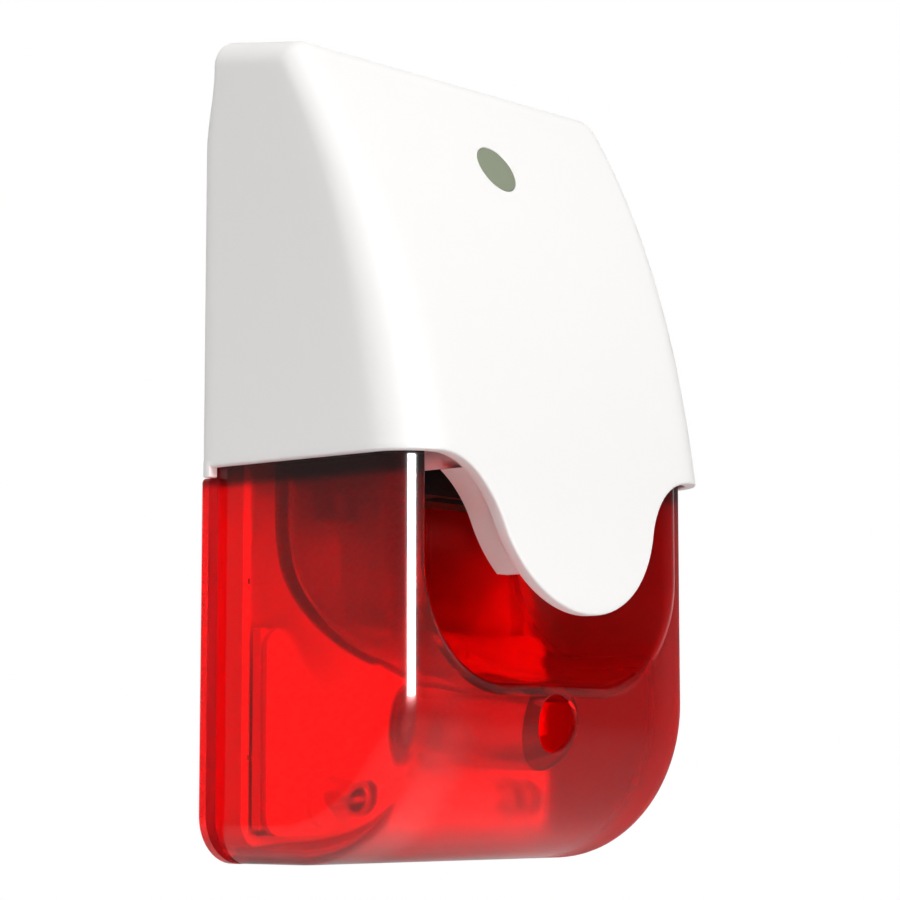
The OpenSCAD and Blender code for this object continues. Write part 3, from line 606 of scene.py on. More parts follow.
def lens_plastic():
    """The lens: deep red, slightly milky and blurred, with a polished outer skin and painted shade
    in its recess and under the cover's edge.
    """
    red = (0.74, 0.008, 0.012)
    material, tree, shader, gloss = clear_moulding(
        "red_lens", red, 0.13, 1.3, (0.66, 0.05, 0.06))
    set_inputs(shader, {"Transmission Weight": 0.96, "Specular IOR Level": 0})
    zones = use_group(tree, lens_zones_group(), Polish=0.45, Recess=1.0)
    # Painted shade: a deeper red inside the recess, where the tongue and cover shade the lens.
    recess = mix_colours(tree, zones.outputs["Recess"], red, (0.55, 0.01, 0.012))
    # Painted shade: a near-black red band under the cover's lower edge.
    tint = mix_colours(tree, zones.outputs["Lip"], recess, (0.2, 0.003, 0.006))
    tree.links.new(tint, shader.inputs["Base Color"])
    tree.links.new(zones.outputs["Polish"], shader.inputs["Coat Weight"])
    soft = math_node(tree, "MULTIPLY", zones.outputs["Soft"], 0.3)
    tree.links.new(math_node(tree, "ADD", gloss, soft), shader.inputs["Roughness"])
    return material


MATERIALS = {
    "white_abs": plastic("white_abs", (0.94, 0.93, 0.92), 0.55, tone=0.03,
                         Specular_IOR_Level=0.25),
    "inner_abs": plastic("inner_abs", (0.88, 0.875, 0.86), 0.5),
    "red_lens": lens_plastic(),
    "window_clear": plastic("window_clear", (0.36, 0.4, 0.29), 0.45, bump=0.05,
                            Transmission_Weight=0.35, IOR=1.5),
    "black_plastic": plastic("black_plastic", (0.02, 0.022, 0.022), 0.45),
    "grey_rubber": plastic("grey_rubber", (0.1, 0.1, 0.1), 0.75),
    "brass_disc": metal("brass_disc", (0.78, 0.6, 0.3), 0.3),
    "steel_screw": metal("steel_screw", (0.62, 0.62, 0.6), 0.3),
    "board_green": plastic("board_green", (0.03, 0.17, 0.08), 0.35),
    "board_white": plastic("board_white", (0.85, 0.86, 0.84), 0.35),
    "terminal_green": plastic("terminal_green", (0.06, 0.33, 0.15), 0.4),
    "ferrite_grey": plastic("ferrite_grey", (0.11, 0.11, 0.12), 0.65),
    "winding_tape": plastic("winding_tape", (0.75, 0.62, 0.16), 0.35),
    "capacitor_sleeve": plastic("capacitor_sleeve", (0.02, 0.03, 0.1), 0.25),
    "resistor_tan": plastic("resistor_tan", (0.7, 0.52, 0.32), 0.4),
    "led_clear": clear_plastic("led_clear", (0.9, 0.9, 0.86), 0.05, 1.5, (0.9, 0.9, 0.88)),
    "tube_glass": clear_plastic("tube_glass", (0.95, 0.96, 0.97), 0.1, 1.2, (0.95, 0.95, 0.95)),
    "reflector_white": plastic("reflector_white", (0.85, 0.85, 0.85), 0.5),
    "coil_copper": metal("coil_copper", (0.72, 0.38, 0.18), 0.35),
    "lead_red": plastic("lead_red", (0.6, 0.04, 0.03), 0.4),
}


# ---- cover ----

BOARD_SCREW_X = 27 * MM
BOARD_SCREW_Z = (5.9 * MM, 46.5 * MM)
BOARD_FRONT_D = 12.6 * MM
DRIVER_SCREW_X = 19.5 * MM
DRIVER_SCREW_Z = -2 * MM
DRIVER_FRONT_D = 25.5 * MM
BOSS_R = 2.6 * MM
BOSS_INTO_FACE = 1.1 * MM
PILOT_R = 0.9 * MM
PILOT_LEAD = 0.3 * MM
PILOT_LEAD_LEN = 0.4 * MM
BOARD_PILOT_LEN = 8 * MM
DRIVER_PILOT_LEN = 7 * MM

# The lens's two snap tabs, and the windows in the cover's sides for their beads.
SNAP_TAB_IN = 0.4 * MM
SNAP_TAB_T = 1.1 * MM
SNAP_TAB_ROOT = 2 * MM
SNAP_TAB_LEN = 5.6 * MM
SNAP_BACK_D = 12 * MM
SNAP_FRONT_D = 20 * MM
SNAP_Z = LENS_TOP_Z + 3.6 * MM
SNAP_BEAD_H = 1.2 * MM
SNAP_BEAD_IN = 0.5 * MM
SNAP_BEAD_OUT = 0.4 * MM
SNAP_FIT = 0.2 * MM
SNAP_WINDOW_OUT = 0.7 * MM

# The claws that hang the housing on the back plate's bars. The C of a claw runs from one
# angle to the other, in degrees, and leaves its mouth open at the back and below.
HOOK_X = 18 * MM
HOOK_W = 7 * MM
HOOK_D = 3.6 * MM
HOOK_Z = TOP_Z - 4.1 * MM
CLAW_R = 2.38 * MM
CLAW_BORE_R = 1.08 * MM
CLAW_C_FROM = 285
CLAW_C_TO = 555
CLAW_ARM_BACK = 1 * MM
CLAW_ARM_FRONT = 3.5 * MM
CLAW_ARM_UNDER_TOP = 0.9 * MM

COVER_BEVEL = 0.35 * MM
TAB_BEVEL = 0.2 * MM
TAB_FIT = 0.1 * MM
DRAFT_FROM_X = 18 * MM
DRAFT_FULL_X = 28 * MM
COLUMN_GAP = 0.3 * MM

FACE_RISE = TOP_Z - SEAM_Z
FACE_RUN = FACE_D - FACE_TOP_D
FACE_TURN = math.atan(FACE_RUN / FACE_RISE) - FACE_LEAN
FACE_R = math.hypot(FACE_RISE, FACE_RUN) / (2 * math.sin(FACE_TURN))
FACE_MID_D = FACE_D - FACE_R * math.cos(FACE_LEAN)
FACE_MID_Z = SEAM_Z - FACE_R * math.sin(FACE_LEAN)


def face_at(z):
    """Depth and lean of the cover's front surface at a height."""
    if z < SEAM_Z:
        return FACE_D + (SEAM_Z - z) * math.tan(FACE_LEAN), FACE_LEAN
    lean = math.asin((z - FACE_MID_Z) / FACE_R)
    return FACE_MID_D + FACE_R * math.cos(lean), lean


def cover_edge(z):
    """Rounding of the long front edges: it gets tighter towards the top."""
    share = smooth_step(z, SEAM_Z, TOP_Z)
    return COVER_EDGE_LOW + (COVER_EDGE_HIGH - COVER_EDGE_LOW) * share


def cover_edge_line(x):
    """Height of the cover's lower edge: the seam, the flares and the tongue's round end."""
    x = abs(x)
    if x < BELL_JOIN_X:
        return BELL_Z - math.sqrt(BELL_R ** 2 - x ** 2)
    if x < FLARE_X:
        return FLARE_Z + math.sqrt(FLARE_R ** 2 - (FLARE_X - x) ** 2)
    return SEAM_Z


def tapered(x, depth, from_x, full_x):
    """Moulding draft: the sides lean in towards the front, in full from full_x outwards."""
    weight = smooth_step(abs(x), from_x, full_x)
    return x - math.copysign(weight * (depth - BACK_D) * DRAFT, x)


def back_edge_depth(z):
    """Depth of the sides' back edge, which comes nearer the wall at the top."""
    lift = smooth_step(z, TOP_BACK_FROM_Z, TOP_BACK_FULL_Z)
    return BACK_D + (TOP_BACK_D - BACK_D) * lift


def cover_columns(round_cols):
    """Columns of the cover's front, from its left edge's rounding to its right edge's.

    A front column is a share of the flat front's half width. A round column is a turn about
    the edge's core.
    """
    bell = [BELL_R * math.sin(a) for a in steps(0, math.asin(BELL_JOIN_X / BELL_R), 18)]
    flare_end = math.asin((FLARE_X - BELL_JOIN_X) / FLARE_R)
    flare = [FLARE_X - FLARE_R * math.sin(a) for a in steps(flare_end, 0, 16)[1:]]
    flat_x = HALF_W - COVER_EDGE_LOW
    right = [x for x in bell + flare if x < flat_x - COLUMN_GAP] + [flat_x]
    shares = [-x / flat_x for x in reversed(right[1:])] + [x / flat_x for x in right]
    turns = steps(0, math.pi / 2, round_cols)[1:]
    columns = [("round", -t) for t in reversed(turns)]
    columns += [("front", share) for share in shares]
    return columns + [("round", t) for t in turns]


def column_point(column, half_w, r, depth, z, lean):
    """Where a column lies on the skin, for an edge core of radius r at a depth and height."""
    kind, value = column
    if kind == "front":
        x, out = value * (half_w - r), r
    else:
        x = math.copysign(half_w - r + r * abs(math.sin(value)), value)
        out = r * math.cos(value)
    return x, depth + out * math.cos(lean), z + out * math.sin(lean)


def cover_surface(side_in, front_in):
    """Points, faces and rim of the cover's skin, taken in at the sides and the front.

    Columns run from the back of the left side round the front to the back of the right side.
    Rows run up from the lower edge to the top front edge, and then back along the top.
    """
    half_w = HALF_W - side_in
    side_cols, round_cols, face_rows, corner_rows = 14, 10, 64, 8
    columns = cover_columns(round_cols)

    def core_point(station):
        """Core of the edge's rounding at a station of the face: depth, height, radius, lean."""
        depth, lean = face_at(station)
        r = cover_edge(station) - max(side_in, front_in)
        inward = front_in + r
        return depth - inward * math.cos(lean), station - inward * math.sin(lean), r, lean

    def top_core_z(depth, r):
        """Height of the top edge's core at a depth."""
        return TOP_Z - depth * math.tan(TOP_FALL) - (side_in + r) / math.cos(TOP_FALL)

    def skin_point(column, station):
        """The skin's point on a column at a station of the face."""
        depth, z, r, lean = core_point(station)
        return column_point(column, half_w, r, depth, z, lean)

    def lower_station(column):
        """Station at which a column meets the cover's lower edge."""
        station = SEAM_Z
        for _ in range(30):
            x, _, z = skin_point(column, station)
            station += cover_edge_line(x) - z
        return station

    # The station at which the face's core meets the top's.
    low, high = SEAM_Z, TOP_Z
    for _ in range(40):
        corner = (low + high) / 2
        corner_d, corner_z, corner_r, corner_lean = core_point(corner)
        if corner_z > top_core_z(corner_d, corner_r):
            high = corner
        else:
            low = corner
    back_rise = top_core_z(BACK_D, corner_r) - corner_z

    def side_points(row_end, share):
        """The flat side, from a row's end back to the wall."""
        x, depth, z = row_end
        back_z = z + back_rise * share
        back_d = back_edge_depth(back_z)
        return [(x, depth + (back_d - depth) * t, z + (back_z - z) * t)
                for t in steps(0, 1, side_cols)[1:]]

    starts = [lower_station(column) for column in columns]
    wide = []
    for share in steps(0, 1, face_rows):
        row = [skin_point(column, start + (corner - start) * share)
               for column, start in zip(columns, starts)]
        wide.append(side_points(row[0], share)[::-1] + row + side_points(row[-1], share))

    # Round the top front edge, then back along the top.
    end_lean = math.pi / 2 - TOP_FALL
    cores = [(corner_d, corner_z, a) for a in steps(corner_lean, end_lean, corner_rows)[1:]]
    cores += [(depth, z, end_lean) for _, depth, z in reversed(wide[-1][:side_cols])]
    top = [wide[-1][side_cols:-side_cols]]
    top += [[column_point(column, half_w, corner_r, *core) for column in columns]
            for core in cores]

    start = len(wide) * len(wide[0])
    faces = grid_faces(len(wide), len(wide[0])) + grid_faces(len(top), len(columns), start)
    points = [Vector((tapered(x, d, DRAFT_FROM_X, DRAFT_FULL_X), -d, z))
              for row in wide + top for x, d, z in row]
    return points, faces, rim_loop(len(wide), len(wide[0]), start, len(top), len(columns))


def rim_loop(rows, cols, top_start, top_rows, top_cols):
    """Indices along the skin's open edge: the lower edge, a side, the top's back, a side."""
    lower = list(range(cols))
    right = [row * cols + cols - 1 for row in range(1, rows)]
    top_row = top_start + (top_rows - 1) * top_cols
    back = list(range(top_row + top_cols - 1, top_row - 1, -1))
    left = [row * cols for row in range(rows - 1, 0, -1)]
    return lower + right + back + left


def cover_shell():
    """The cover's plain shell: an outer and an inner skin, closed along their rims."""
    outer, faces, outer_rim = cover_surface(0, 0)
    inner, inner_faces, inner_rim = cover_surface(COVER_SIDE_T, COVER_FRONT_T)
    shift = len(outer)
    faces += [tuple(reversed([i + shift for i in face])) for face in inner_faces]
    for i in range(len(outer_rim)):
        j = (i + 1) % len(outer_rim)
        faces.append((outer_rim[i], inner_rim[i] + shift, inner_rim[j] + shift, outer_rim[j]))
    return bevel_edges(mesh_object("cover_shell", outer + inner, faces), COVER_BEVEL)


def make_cover():
    """The cover: its shell with corner tabs, claws, bosses, snap windows and window bore."""
    obj = cover_shell()
    for side in (-1, 1):
        combine(obj, corner_tab(side), "UNION")
        combine(obj, claw(side), "UNION")
        for z in BOARD_SCREW_Z:
            post = boss(side * BOARD_SCREW_X, z, BOARD_FRONT_D, BOARD_PILOT_LEN)
            combine(obj, post, "UNION")
        post = boss(side * DRIVER_SCREW_X, DRIVER_SCREW_Z, DRIVER_FRONT_D, DRIVER_PILOT_LEN)
        combine(obj, post, "UNION")
        combine(obj, snap_window(side), "DIFFERENCE")
    combine(obj, window_cutter(), "DIFFERENCE")
    smooth_faces(obj)
    return finish(obj, "front_housing", "white_abs", "cover")


def corner_tab(side):
    """Tab at a lower back corner of the cover, down to the lens's flange."""
    tab = block("corner_tab", side, HALF_W - COVER_SIDE_T + SKIN_GAP, HALF_W - SKIN_GAP,
                BACK_D + SKIN_GAP / 2, FLANGE_D, FLANGE_TOP_Z + TAB_FIT, SEAM_Z + MM)
    return bevel_edges(tab, TAB_BEVEL)


def snap_window(side):
    """Cutter of the window that the bead of a snap tab clicks into."""
    return block("snap_window", side, LENS_W - MM, LENS_W + SNAP_WINDOW_OUT,
                 SNAP_BACK_D - SNAP_FIT, SNAP_FRONT_D + SNAP_FIT,
                 SNAP_Z - SNAP_FIT, SNAP_Z + SNAP_BEAD_H + SNAP_FIT)


def boss(x, z, back_d, pilot_len):
    """Round post from a depth up into the cover's face, with a pilot hole for a screw."""
    count = 32
    ring = [(x + BOSS_R * math.cos(a), z + BOSS_R * math.sin(a))
            for a in steps(0, 2 * math.pi, count)[:-1]]
    points = [Vector((px, -back_d, pz)) for px, pz in ring]
    points += [Vector((px, BOSS_INTO_FACE - face_at(pz)[0], pz)) for px, pz in ring + [(x, z)]]
    points.append(Vector((x, -back_d, z)))
    back, front = 2 * count + 1, 2 * count
    faces = []
    for k in range(count):
        m = (k + 1) % count
        faces += [(k, m, count + m, count + k), (back, m, k), (front, count + k, count + m)]
    post = mesh_object("boss", points, faces)
    hole = turned("pilot", [
        (0, back_d - MM), (PILOT_R + PILOT_LEAD, back_d - MM),
        (PILOT_R, back_d + PILOT_LEAD_LEN), (PILOT_R, back_d + pilot_len),
        (0, back_d + pilot_len)], 24)
    return combine(post, moved(hole, x, z), "DIFFERENCE")


def claw(side):
    """C-shaped claw that turns on the back plate's bar, with its mouth back and down."""
    x0, x1 = side * (HOOK_X - HOOK_W / 2), side * (HOOK_X + HOOK_W / 2)

    def about_bar(r, start, end, count):
        """Points round the bar, from one angle in degrees to another."""
        turns = [math.radians(a) for a in steps(start, end, count)]
        return [(HOOK_D + r * math.cos(a), HOOK_Z + r * math.sin(a)) for a in turns]

    arc = about_bar(CLAW_R, CLAW_C_FROM, CLAW_C_TO, 40)
    ring = side_prism("claw", [(HOOK_D, HOOK_Z)] + arc, x0, x1)
    ends = (HOOK_D - CLAW_ARM_BACK, HOOK_D + CLAW_ARM_FRONT)
    arm = side_prism("arm", [(d, HOOK_Z) for d in ends] + [
        (d, TOP_Z - d * math.tan(TOP_FALL) - CLAW_ARM_UNDER_TOP) for d in reversed(ends)], x0, x1)
    combine(ring, arm, "UNION")
    bore = side_prism("bore", about_bar(CLAW_BORE_R, 0, 360, 32)[:-1],
                      x0 - side * MM, x1 + side * MM)
    return combine(ring, bore, "DIFFERENCE")


def place_on_face(obj, z):
    """Turns a solid made about the Y axis to stand square on the cover's face at a height."""
    depth, lean = face_at(z)
    for v in obj.data.vertices:
        x, y, up = v.co
        out = -y
        v.co = Vector((
            x,
            -(depth + out * math.cos(lean) - up * math.sin(lean)),
            z + out * math.sin(lean) + up * math.cos(lean),
        ))


WINDOW_FIT = 0.05 * MM
WINDOW_CHAMFER = 0.15 * MM
WINDOW_RIM = 0.25 * MM
WINDOW_BACK_RIM = 0.2 * MM
WINDOW_SUNK = 0.05 * MM
WINDOW_DOME = 0.02 * MM
WINDOW_PAST_WALL = 0.6 * MM


def window_cutter():
    """Bore of the power light's window, with a small chamfer at the surface."""
    r = WINDOW_R + WINDOW_FIT
    mouth_r = r + 3 * WINDOW_CHAMFER
    back, front = -2 * CUT_PAST, CUT_PAST
    cutter = turned("window_cutter", [
        (0, back), (r, back), (r, -WINDOW_CHAMFER), (mouth_r, 2 * WINDOW_CHAMFER),
        (mouth_r, front), (0, front)])
    place_on_face(cutter, WINDOW_Z)
    tidy_mesh(cutter)
    return cutter


def make_window():
    """Frosted window: a shallow dome with a rounded rim, thick enough to blur the light."""
    back = -(COVER_FRONT_T + WINDOW_PAST_WALL)
    flat_r = WINDOW_R - WINDOW_RIM
    profile = [(0, back), (WINDOW_R - WINDOW_BACK_RIM, back), (WINDOW_R, back + WINDOW_BACK_RIM)]
    profile += [(flat_r + WINDOW_RIM * math.cos(a),
                 -WINDOW_RIM - WINDOW_SUNK + WINDOW_RIM * math.sin(a))
                for a in steps(0, math.pi / 2, 5)]
    profile += [(flat_r * share, -WINDOW_SUNK - WINDOW_DOME * share)
                for share in steps(1, 0, 8)[1:]]
    obj = turned("window_disc", profile)
    place_on_face(obj, WINDOW_Z)
    tidy_mesh(obj)
    smooth_faces(obj)
    return finish(obj, "front_housing", "window_clear", "power_window")


# ---- lens ----

FLANGE_TOP_R = 0.8 * MM
SIDE_RIB_Z = (BOTTOM_Z + 40.7 * MM, BOTTOM_Z + 15.3 * MM)
SIDE_RIB_D = (6.6 * MM, 30 * MM)
SIDE_RIB_T = 0.8 * MM
SIDE_RIB_OUT = 0.7 * MM
SCOOP_FILLET = 3 * MM
SCOOP_FILLET_FROM_X = 8 * MM
SCOOP_FILLET_FULL_X = 20 * MM
SCOOP_PAST_TOP = 8 * MM
SCOOP_RIM = 2.2 * MM
SCOOP_RIM_TURN = math.radians(82)
SCOOP_RIM_RUN = 0.35 * MM
SCOOP_RIM_NARROW_SHARE = 0.7
SCOOP_RIM_NARROW_FROM_X = 14 * MM
SCOOP_RIM_NARROW_FULL_X = 26 * MM
WALL_END_GAP = 0.2 * MM
WELL_LEAD = 0.3 * MM
WELL_RIM = 0.6 * MM
WELL_RIM_TURN = math.radians(80)
SCREW_HOLE_R = 1.7 * MM
SCREW_HOLE_D = 20 * MM


def lens_block(inset, back_d, top_z):
    """Closed solid of the lens form, taken in by inset, from a back plane to a top plane."""
    half_w = LENS_W - inset
    r = LENS_EDGE - inset
    turn_r = LENS_TURN - inset - r
    mid_d = LENS_D - LENS_TURN
    mid_z = BOTTOM_Z + LENS_TURN
    side_cols, round_cols = 12, 12
    stations = [(mid_d + turn_r, z, 0) for z in steps(top_z, mid_z, 34)]
    stations += [
        (mid_d + turn_r * math.cos(a), mid_z - turn_r * math.sin(a), -a)
        for a in steps(0, math.pi / 2, 30)[1:]
    ]
    flat = half_w - r
    columns = [(-flat - r * math.sin(t), t) for t in steps(math.pi / 2, 0, round_cols)]
    columns += [(x, 0) for x in steps(-flat, flat, 40)[1:-1]]
    columns += [(flat + r * math.sin(t), t) for t in steps(0, math.pi / 2, round_cols)]

    def section(depth, z, lean):
        """The front's row of points, for a core at a depth and height."""
        return [
            (x, depth + r * math.cos(t) * math.cos(lean), z + r * math.cos(t) * math.sin(lean))
            for x, t in columns
        ]

    wide = []
    for depth, z, lean in stations:
        row = section(depth, z, lean)
        back = steps(depth, back_d, side_cols)[1:]
        left = [(-half_w, d, z) for d in reversed(back)]
        right = [(half_w, d, z) for d in back]
        wide.append(left + row + right)
    depth, z, lean = stations[-1]
    under = [section(d, z, lean) for d in steps(depth, back_d, side_cols)]
    cols = len(wide[0])
    start = len(wide) * cols
    faces = grid_faces(len(wide), cols) + grid_faces(len(under), len(columns), start)
    last = start + (len(under) - 1) * len(columns)
    faces.append(tuple(range(cols)))
    back_loop = [row * cols for row in range(len(wide))]
    back_loop += list(range(last + 1, last + len(columns) - 1))
    back_loop += [row * cols + cols - 1 for row in range(len(wide) - 1, -1, -1)]
    faces.append(tuple(back_loop))
    points = [Vector((tapered(x, d, 0, half_w), -d, z)) for row in wide + under for x, d, z in row]
    return mesh_object("lens_block", points, faces)


def flange_outline():
    """The flange is round at its lower corners and nearly square at its upper ones."""
    outline = []
    for x, z, r, start in ((HALF_W, BOTTOM_Z, FLANGE_R, -90),
                           (HALF_W, FLANGE_TOP_Z, FLANGE_TOP_R, 0),
                           (-HALF_W, FLANGE_TOP_Z, FLANGE_TOP_R, 90),
                           (-HALF_W, BOTTOM_Z, FLANGE_R, 180)):
        mid_x = x - math.copysign(r, x)
        mid_z = z + r if z == BOTTOM_Z else z - r
        turns = [math.radians(a) for a in steps(start, start + 90, 12)]
        outline += [(mid_x + r * math.cos(a), mid_z + r * math.sin(a)) for a in turns]
    return outline


def scoop_outline(grow):
    """Half round outline of the recess, from its top left down and round to its top right.

    Each point comes with the outline's outward direction there.
    """
    r = SCOOP_CORNER + grow
    half_w = SCOOP_X + grow
    low = SCOOP_LOW_Z - grow
    flat = half_w - r
    top = LENS_TOP_Z + SCOOP_PAST_TOP
    line = [((-half_w, z), (-1, 0)) for z in steps(top, low + r, 20)]
    line += [((-flat - r * math.cos(a), low + r - r * math.sin(a)), (-math.cos(a), -math.sin(a)))
             for a in steps(0, math.pi / 2, 24)[1:]]
    line += [((x, low), (0, -1)) for x in steps(-flat, flat, 16)[1:-1]]
    line += [((flat + r * math.sin(a), low + r - r * math.cos(a)), (math.sin(a), -math.cos(a)))
             for a in steps(0, math.pi / 2, 24)]
    line += [((half_w, z), (1, 0)) for z in steps(low + r, top, 20)[1:]]
    return line


def scoop_floor(z, grow):
    """Depth of the recess's floor at a height."""
    mid_z = SCOOP_LOW_Z + SCOOP_R
    if z >= mid_z:
        return SCOOP_BACK_D - grow
    r = SCOOP_R + grow
    reach = min(mid_z - z, r)
    return SCOOP_BACK_D + SCOOP_R - math.sqrt(r * r - reach * reach)


def rim_share(x):
    """The recess's rim is narrower on its right side."""
    narrow = smooth_step(x, SCOOP_RIM_NARROW_FROM_X, SCOOP_RIM_NARROW_FULL_X)
    return 1 - SCOOP_RIM_NARROW_SHARE * narrow


def scoop_floor_rows(outline, grow, front):
    """Rows of the recess's floor, from the middle of its top out to its walls.

    They crowd together towards the walls, where the floor turns up into a fillet.
    """
    top = outline[0][0][1]
    rows = []
    for share in steps(0, 0.86, 18) + [0.9, 0.93, 0.955, 0.975, 0.99, 1]:
        row = []
        for (x, z), _ in outline:
            up = top + (z - top) * share
            wall_gap = (1 - share) * abs(x) if abs(x) > 1e-9 else 1
            near = max(0, 1 - wall_gap / SCOOP_FILLET)
            near *= smooth_step(abs(x), SCOOP_FILLET_FROM_X, SCOOP_FILLET_FULL_X)
            lift = 0.98 * SCOOP_FILLET * (1 - math.sqrt(max(0, 1 - near * near)))
            row.append((x * share, min(scoop_floor(up, grow) + lift, front), up))
        rows.append(row)
    return rows


def scoop_block(grow, rim):
    """Closed solid of the sound recess, grown by a wall, with its front edge flared by rim."""
    outline = scoop_outline(grow)
    front = LENS_D + CUT_PAST
    wall_end = LENS_D - rim - WALL_END_GAP

    def flared(out, depth):
        """The outline at a depth, moved outwards."""
        return [(x + nx * out * rim_share(x), depth, z + nz * out * rim_share(x))
                for (x, z), (nx, nz) in outline]

    rows = scoop_floor_rows(outline, grow, front)
    floor_edge = rows[-1]
    for share in steps(0, 1, 3)[1:]:
        rows.append([(x, max(d, d + (wall_end - d) * share), z) for x, d, z in floor_edge])
    out = 0
    if rim:
        rows += [flared(rim * (1 - math.cos(a)), LENS_D - rim + rim * math.sin(a))
                 for a in steps(0, SCOOP_RIM_TURN, 7)]
        out = rim * (1 - math.cos(SCOOP_RIM_TURN)) + SCOOP_RIM_RUN
    rows.append(flared(out, front))
    cols = len(outline)
    faces = grid_faces(len(rows), cols)
    last = (len(rows) - 1) * cols
    faces.append(tuple(range(last, last + cols)))
    first_col = [k * cols for k in range(len(rows))]
    last_col = [k * cols + cols - 1 for k in range(len(rows) - 1, 0, -1)]
    faces.append(tuple(first_col + last_col))
    return mesh_object("scoop_block", [Vector((x, -d, z)) for row in rows for x, d, z in row],
                       faces)


def recess_walls():
    """Walls of the recess and of the screw well, as one solid inside the lens's skin."""
    walls = scoop_block(LENS_T, 0)
    back, front, r = WELL_SEAT_D - WELL_FLOOR, LENS_D + MM, WELL_R + WELL_WALL
    tube = turned("well_tube", [(0, back), (r, back), (r, front), (0, front)], 72)
    combine(walls, moved(tube, 0, WELL_Z), "UNION")
    return combine(walls, lens_block(SKIN_GAP, BACK_D, LENS_TOP_Z), "INTERSECT")


def well_cutter():
    """Bore of the screw well, from the screw's seat to a rounded rim at the lens's face."""
    profile = [(0, WELL_SEAT_D), (WELL_R - WELL_LEAD, WELL_SEAT_D),
               (WELL_R, WELL_SEAT_D + WELL_LEAD)]
    profile += [(WELL_R + WELL_RIM * (1 - math.cos(a)),
                 LENS_D - WELL_RIM + WELL_RIM * math.sin(a))
                for a in steps(0, WELL_RIM_TURN, 6)]
    profile += [(WELL_R + WELL_RIM + WALL_END_GAP, LENS_D + MM), (0, LENS_D + MM)]
    return moved(turned("well_bore", profile, 72), 0, WELL_Z)


def snap_tab(side):
    """Tab with a bead that clicks into the cover's window."""
    out = LENS_W - SNAP_TAB_IN
    tab = block("snap_tab", side, out - SNAP_TAB_T, out, SNAP_BACK_D, SNAP_FRONT_D,
                LENS_TOP_Z - SNAP_TAB_ROOT, LENS_TOP_Z + SNAP_TAB_LEN)
    bead = block("snap_bead", side, out - SNAP_BEAD_IN, LENS_W + SNAP_BEAD_OUT,
                 SNAP_BACK_D, SNAP_FRONT_D, SNAP_Z, SNAP_Z + SNAP_BEAD_H)
    return tab, bead


def make_lens():
    """The lens: a clear shell with a flange, a recess, a screw well, ribs and snap tabs."""
    body = lens_block(0, BACK_D, LENS_TOP_Z)
    combine(body, prism("flange", flange_outline(), BACK_D, FLANGE_D), "UNION")
    inner = lens_block(LENS_T, BACK_D - CUT_PAST, LENS_TOP_Z + CUT_PAST)
    combine(body, inner, "DIFFERENCE")
    combine(body, recess_walls(), "UNION")
    for side in (-1, 1):
        for z in SIDE_RIB_Z:
            rib = block("side_rib", side, LENS_W - LENS_T - SIDE_RIB_OUT, LENS_W - MM,
                        *SIDE_RIB_D, z - SIDE_RIB_T / 2, z + SIDE_RIB_T / 2)
            combine(body, rib, "UNION")
        for piece in snap_tab(side):
            combine(body, piece, "UNION")
    combine(body, scoop_block(0, SCOOP_RIM), "DIFFERENCE")
    combine(body, well_cutter(), "DIFFERENCE")
    hole = turned("screw_hole", [
        (0, 0), (SCREW_HOLE_R, 0), (SCREW_HOLE_R, SCREW_HOLE_D), (0, SCREW_HOLE_D)], 32)
    combine(body, moved(hole, 0, WELL_Z), "DIFFERENCE")
    tidy_mesh(body, 2e-6)
    body.name = "lens_shell"
    smooth_faces(body, 30)
    return finish(body, "front_housing", "red_lens", "lens")


# ---- repeats and coils, made with geometry nodes ----

def geometry_tree(name, inputs):
    """An empty geometry tree with named inputs besides its geometry."""
    tree = bpy.data.node_groups.new(name, "GeometryNodeTree")
    tree.interface.new_socket("Geometry", in_out="INPUT", socket_type="NodeSocketGeometry")
    for key, kind in inputs.items():
        tree.interface.new_socket(key, in_out="INPUT", socket_type=kind)
    tree.interface.new_socket("Geometry", in_out="OUTPUT", socket_type="NodeSocketGeometry")
    return tree, tree.nodes.new("NodeGroupInput"), tree.nodes.new("NodeGroupOutput")


def close_tree(tree, given, result, geometry):
    """Ends a tree: real geometry with the given material."""
    real = tree.nodes.new("GeometryNodeRealizeInstances")
    paint = tree.nodes.new("GeometryNodeSetMaterial")
    tree.links.new(geometry, real.inputs[0])
    tree.links.new(real.outputs[0], paint.inputs["Geometry"])
    tree.links.new(given.outputs["Material"], paint.inputs["Material"])
    tree.links.new(paint.outputs[0], result.inputs[0])
    return tree


def coil_tree():
    """A round wire swept along a helix."""
    tree, given, result = geometry_tree("wire_coil", {
        "Turns": "NodeSocketFloat", "Coil Radius": "NodeSocketFloat",
        "Length": "NodeSocketFloat", "Wire Radius": "NodeSocketFloat",
        "Material": "NodeSocketMaterial"})
    path = tree.nodes.new("GeometryNodeCurveSpiral")
    path.inputs["Resolution"].default_value = 40
    tree.links.new(given.outputs["Turns"], path.inputs["Rotations"])
    tree.links.new(given.outputs["Coil Radius"], path.inputs["Start Radius"])
    tree.links.new(given.outputs["Coil Radius"], path.inputs["End Radius"])
    tree.links.new(given.outputs["Length"], path.inputs["Height"])
    wire = tree.nodes.new("GeometryNodeCurvePrimitiveCircle")
    wire.inputs["Resolution"].default_value = 12
    tree.links.new(given.outputs["Wire Radius"], wire.inputs["Radius"])
    sweep = tree.nodes.new("GeometryNodeCurveToMesh")
    sweep.inputs["Fill Caps"].default_value = True
    tree.links.new(path.outputs[0], sweep.inputs["Curve"])
    tree.links.new(wire.outputs[0], sweep.inputs["Profile Curve"])
    return close_tree(tree, given, result, sweep.outputs[0])


